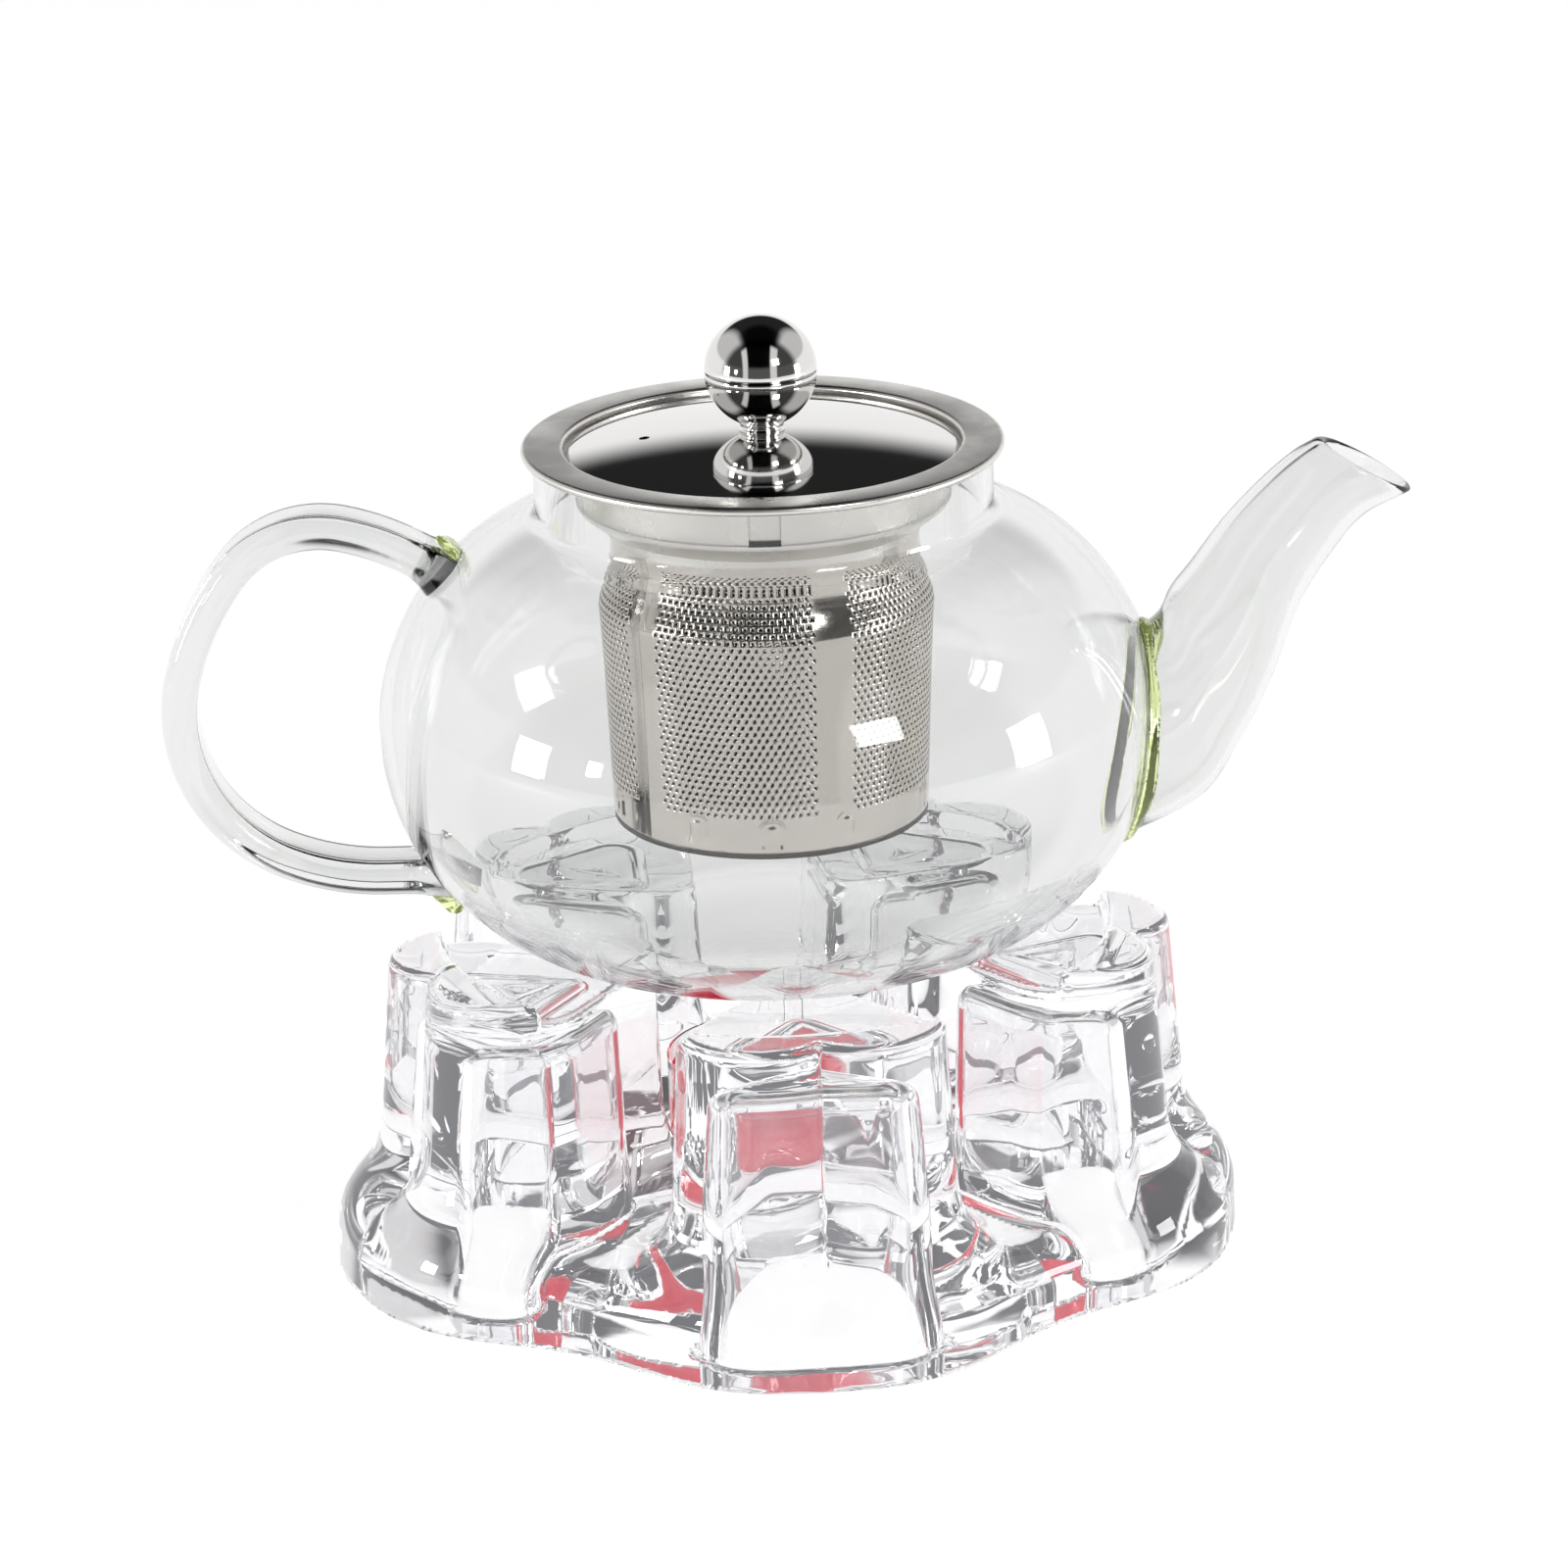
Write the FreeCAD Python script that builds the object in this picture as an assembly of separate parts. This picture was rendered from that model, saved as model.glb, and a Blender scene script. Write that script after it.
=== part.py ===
import FreeCAD, Part
import math
import os

# A round glass teapot with a steel infuser and lid, standing on a pressed-glass
# warmer over a tealight. Millimetres, +Z up, the spout towards +X, the handle
# towards -X. The origin is the centre of the warmer's underside.

# ---- warmer: one pressed-glass piece, a five-lobed base plate with five columns
lobe_count = 5
first_column_angle = -84.0    # direction of the column nearest the front (-Y), degrees
plate_lobe_reach = 77.5       # axis to the furthest point of a lobe
plate_valley_reach = 69.0     # axis to the plate's edge between two lobes
plate_lobe_radius = 40.0
plate_height = 14.0
plate_edge_round = 4.0
column_height = 41.0          # above the plate
column_reach = 66.0           # axis to the outside of a column, at its top
column_tip_margin = 0.3       # between a column's foot and the tealight's recess
column_lobe_radius = 13.5     # a column is heart-shaped in plan: two lobes and a tip
column_lobe_spread = 8.5      # middle of the column to each lobe's centre
column_tip_radius = 5.0
column_draft = 2.4            # how much each side grows from top to foot
column_wall = 8.0
column_ceiling = 9.5          # glass above the hollow under a column
hollow_tip_radius = 3.5       # radius at the inner end of a hollow
seat_recess_radius = 56.5
seat_recess_depth = 3.0       # the pot stands this far below the columns' tops
light_clearance = 1.3         # between the tealight and its recess
light_recess_depth = 1.5

# ---- tealight
light_cup_radius = 19.0
light_cup_height = 18.0
light_cup_wall = 0.5
light_wax_drop = 3.0          # wax surface below the cup's rim
wick_radius = 0.8
wick_above_wax = 5.0
sustainer_radius = 6.0
sustainer_thickness = 0.4

# ---- teapot glass
glass_wall = 2.0
belly_radius = 65.5
foot_bearing = 3.5            # how far the flat underside reaches over the columns' tips
belly_drop = 39.0             # widest ring above the underside
shoulder_rise = 37.1          # height of the shoulder's quarter ellipse
shoulder_inset = 9.5          # how far that ellipse reaches inside the neck
neck_radius = 38.3
neck_height = 11.6
neck_round = 3.0

# ---- spout: the round root, then sections across the tube, the cut mouth last
spout_wall = 1.8
spout_root_radius = 17.9
spout_root_below_belly = 4.6  # root's centre under the belly's widest ring
spout_seal_width = 0.5        # the seal ring stands proud of the root by this
spout_root_plane = -0.5       # root plane, measured outwards from the belly radius
spout_steps = 4                # pieces between two sections
spout_sections = [
    # outwards from belly radius, above belly ring, direction, half height, half width
    (3.6, 0.2, 12.0, 16.1, 15.6),
    (8.0, 7.3, 25.0, 14.1, 13.2),
    (12.2, 14.5, 33.0, 12.2, 11.4),
    (17.5, 25.0, 40.0, 9.7, 9.3),
    (23.5, 33.0, 45.0, 8.5, 8.1),
    (28.5, 38.0, 48.0, 8.0, 7.4),
    (33.9, 40.9, 60.0, 9.1, 6.7),
]

# ---- handle: a flattened solid rod, its middle line going out and down
handle_thickness = 6.0
handle_width = 12.0
handle_edge_round = 2.7
handle_start_above_belly = 26.8
handle_start_angle = 142.5    # heading where it leaves the belly, degrees from +X
handle_arcs = [
    # radius, degrees turned
    (41.5, 25.0),
    (18.6, 65.0),
    (50.0, 23.0),
    (27.7, 82.0),
]
handle_last_radius = 43.0     # turns on until the rod points straight at the axis
seal_bead_depth = 4.5         # half sizes of the glass beads at the handle's ends
seal_bead_width = 8.0
seal_bead_height = 5.6

# ---- infuser: spun steel collar, perforated basket and its base
sheet = 0.5
flange_roll_radius = 0.75
flange_roll_gap = 0.4         # between the neck and the flange's rolled edge
ledge_width = 1.9
ledge_drop = 1.9              # lid ledge under the flange's top
collar_gap = 5.0              # between the collar and the inside of the neck
collar_wall_depth = 7.5
collar_funnel_depth = 3.2
collar_throat_length = 1.6
basket_step = 5.5             # the basket's neck is this much narrower than the collar
basket_neck_length = 7.3
basket_shoulder_swell = 2.1   # shoulder's widest ring outside the neck
basket_shoulder_depth = 15.3  # that ring under the basket's top edge
basket_bottom_swell = 0.7
basket_length = 52.0
basket_lip = 1.6
base_clearance = 0.1
window_width = 5.2
window_height = 5.2
window_sill = 0.4             # window above the foot of the collar's wall

# ---- lid and knob
lid_gap = 0.8                 # between the lid's edge and the flange's opening
lid_thickness = 0.6
lid_rise = 3.2
skirt_clearance = 0.35
skirt_depth = 7.0
vent_radius = 0.9
vent_reach = 19.6
knob_radius = 9.4
knob_wall = 0.8
knob_spacer_radius = 4.0
knob_spacer_height = 1.5
insert_radius = 3.5
screw_radius = 2.0
screw_hole_clearance = 0.2
screw_head_radius = 3.6
screw_head_height = 2.2
screw_slot_width = 0.9
washer_radius = 4.8
washer_thickness = 0.6

# ---- radii that follow from the sizes above
light_recess_radius = light_cup_radius + light_clearance
column_tip_reach = light_recess_radius + column_draft + column_tip_margin
foot_radius = column_tip_reach + foot_bearing
flange_radius = neck_radius + flange_roll_gap + 2.0 * flange_roll_radius
collar_radius = neck_radius - glass_wall - collar_gap
flange_opening_radius = collar_radius + ledge_width
basket_neck_radius = collar_radius - basket_step
basket_shoulder_radius = basket_neck_radius + basket_shoulder_swell
basket_bottom_radius = basket_neck_radius + basket_bottom_swell
lid_radius = flange_opening_radius - lid_gap

# ---- heights and places that follow
seat_z = plate_height + column_height - seat_recess_depth
light_z = plate_height - light_recess_depth
belly_z = seat_z + belly_drop
shoulder_centre = neck_radius - shoulder_inset
shoulder_half_width = belly_radius - shoulder_centre
neck_z = belly_z + shoulder_rise * math.sqrt(1.0 - (shoulder_inset / shoulder_half_width) ** 2)
rim_z = neck_z + neck_height
flange_top = rim_z + sheet
ledge_z = flange_top - ledge_drop
throat_z = ledge_z - collar_wall_depth - collar_funnel_depth
basket_top = throat_z
basket_bottom = basket_top - basket_length
lid_centre_z = ledge_z + lid_thickness + lid_rise
knob_offset = math.sqrt(knob_radius ** 2 - knob_spacer_radius ** 2)
knob_z = lid_centre_z + knob_spacer_height + knob_offset
spout_root_x = belly_radius + spout_root_plane
spout_root_z = belly_z - spout_root_below_belly

axis_x = FreeCAD.Vector(1, 0, 0)
axis_y = FreeCAD.Vector(0, 1, 0)
axis_z = FreeCAD.Vector(0, 0, 1)
far = 200.0                   # longer than any piece, for cutting tools


def point(x, z):
    """A point in the XZ plane, which holds every profile that is turned about Z."""
    return FreeCAD.Vector(x, 0, z)


def turned(points):
    """The solid of revolution about Z of a closed outline of straight lines."""
    outline = [point(r, z) for r, z in points]
    face = Part.Face(Part.makePolygon(outline + [outline[0]]))
    return face.revolve(FreeCAD.Vector(0, 0, 0), axis_z, 360)


def turned_edges(edges):
    """The solid of revolution about Z of a closed outline of edges."""
    face = Part.Face(Part.Wire(edges))
    return face.revolve(FreeCAD.Vector(0, 0, 0), axis_z, 360)


def disc(radius, bottom, height, x=0.0, y=0.0):
    return Part.makeCylinder(radius, height, FreeCAD.Vector(x, y, bottom), axis_z)


def ring(outer, inner, bottom, height):
    return disc(outer, bottom, height).cut(disc(inner, bottom, height))


def offset_line(points, distance):
    """The same open polyline moved sideways by a distance, with mitred corners."""
    normals = []
    for (r0, z0), (r1, z1) in zip(points, points[1:]):
        length = math.hypot(r1 - r0, z1 - z0)
        normals.append(((z1 - z0) / length, (r0 - r1) / length))
    moved = []
    for index, (r, z) in enumerate(points):
        before = normals[max(index - 1, 0)]
        after = normals[min(index, len(normals) - 1)]
        share = distance / (1.0 + before[0] * after[0] + before[1] * after[1])
        moved.append((r + share * (before[0] + after[0]), z + share * (before[1] + after[1])))
    return moved


def turned_sheet(points, thickness):
    """A spun sheet: a polyline given a thickness to its right, turned about Z."""
    return turned(points + offset_line(points, thickness)[::-1])


# ---------------------------------------------------------------- warmer

def lobed_outline(grow, z):
    """The base plate's edge: five lobes joined by wide hollow arcs, all tangent."""
    lobe = plate_lobe_radius + grow
    valley_reach = plate_valley_reach + grow
    centre = plate_lobe_reach - plate_lobe_radius
    half_step = math.pi / lobe_count
    depth = valley_reach - lobe
    valley_centre = (centre ** 2 - depth ** 2) / (2.0 * (centre * math.cos(half_step) - depth))
    valley = valley_centre - valley_reach

    def polar(radius, angle):
        return FreeCAD.Vector(radius * math.cos(angle), radius * math.sin(angle), z)

    def joint(lobe_angle, valley_angle):
        start = polar(centre, lobe_angle)
        end = polar(valley_centre, valley_angle)
        return start + (end - start) * (lobe / (lobe + valley))

    edges = []
    for index in range(lobe_count):
        angle = math.radians(first_column_angle) + 2.0 * half_step * index
        before = joint(angle, angle - half_step)
        after = joint(angle, angle + half_step)
        crest = polar(centre + lobe, angle)
        edges.append(Part.Arc(before, crest, after).toShape())
        following = joint(angle + 2.0 * half_step, angle + half_step)
        edges.append(Part.Arc(after, polar(valley_reach, angle + half_step), following).toShape())
    return Part.Wire(edges)


def heart_outline(lobe, tip, tip_x, z, notched):
    """A heart in plan, pointing to the axis: two lobe circles, a tip circle, X outwards."""
    lobe_x = column_reach - column_lobe_radius
    run = math.hypot(lobe_x - tip_x, column_lobe_spread)
    slope = math.atan2(column_lobe_spread, lobe_x - tip_x)
    lean = slope + math.asin((lobe - tip) / run) + math.pi / 2.0

    def on_circle(x, y, radius, angle):
        return FreeCAD.Vector(x + radius * math.cos(angle), y + radius * math.sin(angle), z)

    def mirrored(place):
        return FreeCAD.Vector(place.x, -place.y, z)

    lobe_touch = on_circle(lobe_x, column_lobe_spread, lobe, lean)
    tip_touch = on_circle(tip_x, 0, tip, lean)
    crest = on_circle(lobe_x, column_lobe_spread, lobe, lean / 2.0)
    edges = [Part.makeLine(tip_touch, lobe_touch)]
    if notched:
        notch = FreeCAD.Vector(lobe_x + math.sqrt(lobe ** 2 - column_lobe_spread ** 2), 0, z)
        edges.append(Part.Arc(lobe_touch, crest, notch).toShape())
        edges.append(Part.Arc(notch, mirrored(crest), mirrored(lobe_touch)).toShape())
    else:
        outer = on_circle(lobe_x, column_lobe_spread, lobe, 0.0)
        edges.append(Part.Arc(lobe_touch, crest, outer).toShape())
        edges.append(Part.makeLine(outer, mirrored(outer)))
        edges.append(Part.Arc(mirrored(outer), mirrored(crest), mirrored(lobe_touch)).toShape())
    edges.append(Part.makeLine(mirrored(lobe_touch), mirrored(tip_touch)))
    nose = FreeCAD.Vector(tip_x - tip, 0, z)
    edges.append(Part.Arc(mirrored(tip_touch), nose, tip_touch).toShape())
    return Part.Wire(edges)


def warmer_column():
    tip_x = column_tip_reach + column_tip_radius
    foot = heart_outline(column_lobe_radius + column_draft, column_tip_radius + column_draft, tip_x, 0, True)
    top = heart_outline(column_lobe_radius, column_tip_radius, tip_x, plate_height + column_height, True)
    return Part.makeLoft([foot, top], True, True)


def warmer_hollow():
    """The space under one column, open at the bottom, with the same wall and draft."""
    tip_x = column_tip_reach + column_tip_radius
    lobe_x = column_reach - column_lobe_radius
    run = math.hypot(lobe_x - tip_x, column_lobe_spread)
    side = math.atan2(column_lobe_spread, lobe_x - tip_x)
    side += math.asin((column_lobe_radius - column_tip_radius) / run)
    tip_x += (column_wall + hollow_tip_radius - column_tip_radius) / math.sin(side)
    lobe = column_lobe_radius - column_wall
    tip = hollow_tip_radius
    ceiling = plate_height + column_height - column_ceiling
    foot = heart_outline(lobe + column_draft, tip + column_draft, tip_x, 0, False)
    roof = heart_outline(lobe, tip, tip_x, ceiling, False)
    return Part.makeLoft([foot, roof], True, True)


def make_warmer():
    plate = Part.Face(lobed_outline(0, 0)).extrude(axis_z * plate_height)
    top_edges = [edge for edge in plate.Edges if edge.BoundBox.ZMin > plate_height - 0.01]
    warmer = plate.makeFillet(plate_edge_round, top_edges)
    step = 360.0 / lobe_count
    origin = FreeCAD.Vector(0, 0, 0)
    for index in range(lobe_count):
        column = warmer_column()
        column.rotate(origin, axis_z, first_column_angle + step * index)
        warmer = warmer.fuse(column)
    for index in range(lobe_count):
        hollow = warmer_hollow()
        hollow.rotate(origin, axis_z, first_column_angle + step * index)
        warmer = warmer.cut(hollow)
    warmer = warmer.cut(disc(seat_recess_radius, seat_z, far))
    return warmer.cut(disc(light_recess_radius, light_z, plate_height))


# -------------------------------------------------------------- tealight

def make_tealight_cup():
    inner = disc(light_cup_radius - light_cup_wall, light_z + light_cup_wall, light_cup_height)
    return disc(light_cup_radius, light_z, light_cup_height).cut(inner)


def make_wick_sustainer():
    return disc(sustainer_radius, light_z + light_cup_wall, sustainer_thickness)


def make_wick():
    bottom = light_z + light_cup_wall + sustainer_thickness
    top = light_z + light_cup_height - light_wax_drop + wick_above_wax
    return disc(wick_radius, bottom, top - bottom)


def make_tealight_wax():
    bottom = light_z + light_cup_wall
    height = light_cup_height - light_cup_wall - light_wax_drop
    wax = disc(light_cup_radius - light_cup_wall, bottom, height)
    return wax.cut(make_wick_sustainer()).cut(make_wick())


# ---------------------------------------------------------- teapot glass

def quarter_ellipse(centre_r, half_width, half_height, end_r=None):
    """The profile's quarter ellipse from the belly ring up (or down) to end_r."""
    end_r = centre_r if end_r is None else end_r

    def at(share):
        radius = end_r + (centre_r + half_width - end_r) * share
        rest = max(0.0, 1.0 - ((radius - centre_r) / half_width) ** 2)
        return point(radius, belly_z + half_height * math.sqrt(rest))

    shares = [1.0, 0.985, 0.94, 0.87, 0.78, 0.67, 0.54, 0.38, 0.2, 0.0]
    curve = Part.BSplineCurve()
    side = 1.0 if half_height > 0 else -1.0
    slope = (end_r - centre_r) / half_width
    leaving = FreeCAD.Vector(-math.sqrt(1.0 - slope ** 2), 0, abs(half_height) / half_width * slope * side)
    curve.interpolate(
        Points=[at(share) for share in shares],
        InitialTangent=point(0, side),
        FinalTangent=leaving,
    )
    return curve.toShape()


def vessel(offset):
    """The pot's outside (offset 0) or inside (offset the wall), as one full solid."""
    top = rim_z
    bottom = seat_z + offset
    neck = neck_radius - offset
    upper = quarter_ellipse(shoulder_centre, shoulder_half_width - offset, shoulder_rise - offset, neck)
    lower = quarter_ellipse(foot_radius, belly_radius - foot_radius - offset, offset - belly_drop)
    shoulder_end = upper.Vertexes[-1].Point
    foot_end = point(foot_radius, bottom)
    edges = [
        Part.makeLine(point(0, bottom), foot_end),
        lower,
        upper,
        Part.makeLine(shoulder_end, point(neck, top)),
        Part.makeLine(point(neck, top), point(0, top)),
        Part.makeLine(point(0, top), point(0, bottom)),
    ]
    solid = turned_edges(Part.sortEdges(edges)[0])
    corner = [edge for edge in solid.Edges
              if abs(edge.BoundBox.ZMin - shoulder_end.z) < 0.01
              and abs(edge.BoundBox.ZMax - shoulder_end.z) < 0.01]
    return solid.makeFillet(neck_round + offset, corner)


def make_glass_body():
    bore = spout_root_radius - spout_wall
    start = FreeCAD.Vector(0, 0, spout_root_z)
    hole = Part.makeCylinder(bore, far, start, axis_x)
    return vessel(0).cut(vessel(glass_wall)).cut(hole)


def spout_section(x, z, direction, half_height, half_width):
    """An upright ellipse across the tube; direction is the tube's slope in degrees."""
    angle = math.radians(direction)
    along = FreeCAD.Vector(math.cos(angle), 0, math.sin(angle))
    up = FreeCAD.Vector(-math.sin(angle), 0, math.cos(angle))
    centre = point(x, z)
    ellipse = Part.Ellipse(centre + up * half_height, centre + along.cross(up) * half_width, centre)
    halves = [ellipse.toShape(0, math.pi), ellipse.toShape(math.pi, 2 * math.pi)]
    return Part.Wire(halves)


def spout_rings(inset):
    """The tube's section outlines, with more worked out between them by smooth curves."""
    stations = [(spout_root_plane, -spout_root_below_belly, 0.0, spout_root_radius, spout_root_radius * 0.98)]
    stations += spout_sections
    shares = [float(index) for index in range(len(stations))]
    middles = Part.BSplineCurve()
    middles.interpolate(Points=[point(out, above) for out, above, *rest in stations], Parameters=shares)
    shapes = Part.BSplineCurve()
    shapes.interpolate(Points=[FreeCAD.Vector(*rest) for out, above, *rest in stations], Parameters=shares)
    rings = []
    for index in range(spout_steps * (len(stations) - 1) + 1):
        middle = middles.value(index / spout_steps)
        direction, half_height, half_width = shapes.value(index / spout_steps)
        rings.append(spout_section(belly_radius + middle.x, belly_z + middle.z, direction,
                                   half_height - inset, half_width - inset))
    return rings


def make_glass_spout():
    """The tube as one closed skin: outside, inside, and the flat ring at each end."""
    outer = spout_rings(0)
    inner = spout_rings(spout_wall)
    faces = []
    for rings in (outer, inner):
        for near, far_ring in zip(rings, rings[1:]):
            for side in (0, 1):
                faces.append(Part.makeRuledSurface(near.Edges[side], far_ring.Edges[side]))
    for end in (0, -1):
        faces.append(Part.Face([outer[end], inner[end]]))
    skin = Part.makeShell(faces)
    skin.sewShape()
    tube = Part.makeSolid(skin)
    tube.fix(0.001, 0.001, 0.001)
    return tube


def make_spout_seal():
    """The fused ring between the spout's root and the belly."""
    depth = belly_radius - foot_radius
    start = FreeCAD.Vector(spout_root_x - depth, 0, spout_root_z)
    outer = Part.makeCylinder(spout_root_radius + spout_seal_width, depth, start, axis_x)
    inner = Part.makeCylinder(spout_root_radius - spout_wall, depth, start, axis_x)
    return outer.cut(inner).cut(vessel(0))


def surface_radius(above):
    """The belly's outer radius at a height above (or below) its widest ring."""
    if above >= 0:
        return shoulder_centre + shoulder_half_width * math.sqrt(1 - (above / shoulder_rise) ** 2)
    return foot_radius + (belly_radius - foot_radius) * math.sqrt(1 - (above / belly_drop) ** 2)


def handle_path():
    """The rod's middle line: out of the upper wall, round, and into the lower wall."""
    above = handle_start_above_belly
    heading = math.radians(handle_start_angle)
    outwards = FreeCAD.Vector(math.cos(heading), 0, math.sin(heading))
    place = point(-surface_radius(above), belly_z + above)
    edges = [Part.makeLine(place - outwards * glass_wall, place)]
    last_turn = 360.0 - handle_start_angle - sum(turn for radius, turn in handle_arcs)
    for radius, turn in handle_arcs + [(handle_last_radius, last_turn)]:
        centre = place + FreeCAD.Vector(-math.sin(heading), 0, math.cos(heading)) * radius
        halfway = heading + math.radians(turn / 2.0)
        heading = heading + math.radians(turn)
        middle = centre + FreeCAD.Vector(math.sin(halfway), 0, -math.cos(halfway)) * radius
        end = centre + FreeCAD.Vector(math.sin(heading), 0, -math.cos(heading)) * radius
        edges.append(Part.Arc(place, middle, end).toShape())
        place = end
    inside = point(glass_wall - surface_radius(place.z - belly_z), place.z)
    return edges + [Part.makeLine(place, inside)]


def handle_rod():
    """The rod with both ends run into the glass wall, before they are cut to it."""
    path = handle_path()
    blank = Part.makeBox(handle_thickness, handle_width, 1.0,
                         FreeCAD.Vector(-handle_thickness / 2, -handle_width / 2, 0))
    upright = [edge for edge in blank.Edges if edge.BoundBox.ZLength > 0.5]
    rounded = blank.makeFillet(handle_edge_round, upright)
    section = [face for face in rounded.Faces if face.BoundBox.ZMax < 0.01][0].OuterWire
    section.rotate(FreeCAD.Vector(0, 0, 0), axis_y, 90.0 - handle_start_angle)
    section.translate(path[0].Vertexes[0].Point)
    return Part.Wire(path).makePipeShell([section], True, True)


def make_glass_handle():
    return handle_rod().cut(vessel(0))


def make_handle_seal(height):
    """A bead of fused glass around one end of the handle, on the belly."""
    bead = Part.makeSphere(1.0)
    size = FreeCAD.Matrix()
    size.scale(seal_bead_depth, seal_bead_width, seal_bead_height)
    bead = bead.transformGeometry(size)
    bead.translate(point(-surface_radius(height - belly_z), height))
    return bead.cut(vessel(0)).cut(handle_rod())


# ----------------------------------------------------------------- infuser

def make_infuser_collar():
    wall_foot = ledge_z - collar_wall_depth
    funnel = collar_funnel_depth
    profile = [
        (flange_radius - flange_roll_radius, flange_top),
        (flange_opening_radius, flange_top),
        (flange_opening_radius, ledge_z),
        (collar_radius - sheet, ledge_z),
        (collar_radius - sheet, wall_foot),
        (collar_radius - sheet - 0.4 * funnel, wall_foot - 0.6 * funnel),
        (basket_neck_radius + 0.3 * funnel, wall_foot - funnel),
        (basket_neck_radius, wall_foot - funnel),
        (basket_neck_radius, wall_foot - funnel - collar_throat_length),
    ]
    collar = turned_sheet(profile, -sheet)
    roll = Part.makeTorus(flange_radius - flange_roll_radius, flange_roll_radius,
                          FreeCAD.Vector(0, 0, flange_top - flange_roll_radius), axis_z)
    collar = collar.fuse(roll)
    corner = FreeCAD.Vector(-window_width / 2, -far / 2, wall_foot + window_sill)
    window = Part.makeBox(window_width, far, window_height, corner)
    return collar.cut(window)


def make_infuser_basket():
    shoulder = basket_top - basket_shoulder_depth
    neck_end = basket_top - basket_neck_length
    rise = basket_shoulder_radius - basket_neck_radius
    drop = neck_end - shoulder
    profile = [
        (basket_neck_radius, basket_top),
        (basket_neck_radius, neck_end),
        (basket_neck_radius + 0.25 * rise, neck_end - 0.4 * drop),
        (basket_neck_radius + 0.8 * rise, neck_end - 0.75 * drop),
        (basket_shoulder_radius, shoulder),
        (basket_bottom_radius, basket_bottom),
        (basket_bottom_radius - basket_lip, basket_bottom),
    ]
    return turned_sheet(profile, sheet)


def make_infuser_base():
    radius = basket_bottom_radius - sheet - base_clearance
    return disc(radius, basket_bottom + sheet, sheet)


# --------------------------------------------------------------------- lid

def dome_space(lift):
    """Everything above the lid's dome, the dome itself raised by lift."""
    radius = (lid_radius ** 2 + lid_rise ** 2) / (2.0 * lid_rise)
    centre_z = ledge_z + lid_rise - radius + lift
    ball = Part.makeSphere(radius, FreeCAD.Vector(0, 0, centre_z))
    return disc(lid_radius, ledge_z, far).cut(ball)


def make_lid_cover():
    cover = dome_space(0).cut(dome_space(lid_thickness))
    hole = disc(screw_radius + screw_hole_clearance, ledge_z, far)
    vent = disc(vent_radius, ledge_z, far, -vent_reach)
    return cover.cut(hole).cut(vent)


def make_lid_skirt():
    outer = collar_radius - sheet - skirt_clearance
    skirt = ring(outer, outer - sheet, ledge_z - skirt_depth, far)
    return skirt.cut(dome_space(0))


def knob_ball(radius):
    return Part.makeSphere(radius, FreeCAD.Vector(0, 0, knob_z))


def knob_shell(bottom, top):
    shell = knob_ball(knob_radius).cut(knob_ball(knob_radius - knob_wall))
    return shell.common(disc(far, bottom, top - bottom))


def make_knob_upper_shell():
    return knob_shell(knob_z, knob_z + knob_radius)


def make_knob_lower_shell():
    shell = knob_shell(knob_z - knob_radius, knob_z)
    return shell.cut(disc(screw_radius, knob_z - knob_radius, knob_radius))


def make_knob_insert():
    insert = disc(insert_radius, knob_z - knob_radius, knob_radius)
    insert = insert.common(knob_ball(knob_radius - knob_wall))
    return insert.cut(disc(screw_radius, knob_z - knob_radius, knob_radius))


def make_knob_spacer():
    spacer = ring(knob_spacer_radius, screw_radius + screw_hole_clearance, ledge_z, knob_z - ledge_z)
    spacer = spacer.common(dome_space(lid_thickness))
    return spacer.cut(knob_ball(knob_radius))


def make_screw_washer():
    bottom = lid_centre_z - lid_thickness - washer_thickness
    washer = ring(washer_radius, screw_radius + screw_hole_clearance, bottom, 2 * washer_thickness)
    return washer.cut(dome_space(0))


def make_knob_screw():
    head_top = lid_centre_z - lid_thickness - washer_thickness
    head = disc(screw_head_radius, head_top - screw_head_height, screw_head_height)
    corner = FreeCAD.Vector(-screw_head_radius, -screw_slot_width / 2, head_top - screw_head_height)
    slot = Part.makeBox(2 * screw_head_radius, screw_slot_width, screw_head_height / 2, corner)
    shank = disc(screw_radius, head_top, knob_z - knob_wall - head_top)
    return head.cut(slot).fuse(shank)


nodes = {
    "warmer_glass": make_warmer(),
    "tealight_cup": make_tealight_cup(),
    "tealight_wax": make_tealight_wax(),
    "tealight_wick": make_wick(),
    "wick_sustainer": make_wick_sustainer(),
    "glass_body": make_glass_body(),
    "glass_spout": make_glass_spout(),
    "spout_seal_ring": make_spout_seal(),
    "glass_handle": make_glass_handle(),
    "handle_upper_seal": make_handle_seal(belly_z + handle_start_above_belly),
    "handle_lower_seal": make_handle_seal(handle_path()[-1].Vertexes[0].Z),
    "infuser_collar": make_infuser_collar(),
    "infuser_basket": make_infuser_basket(),
    "infuser_base": make_infuser_base(),
    "lid_cover": make_lid_cover(),
    "lid_skirt": make_lid_skirt(),
    "knob_upper_shell": make_knob_upper_shell(),
    "knob_lower_shell": make_knob_lower_shell(),
    "knob_insert": make_knob_insert(),
    "knob_spacer": make_knob_spacer(),
    "screw_washer": make_screw_washer(),
    "knob_screw": make_knob_screw(),
}

os.makedirs("parts", exist_ok=True)
for name, shape in nodes.items():
    shape.exportStep("parts/" + name + ".step")
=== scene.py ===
import math

import bpy
import numpy as np
from mathutils import Matrix, Vector


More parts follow.
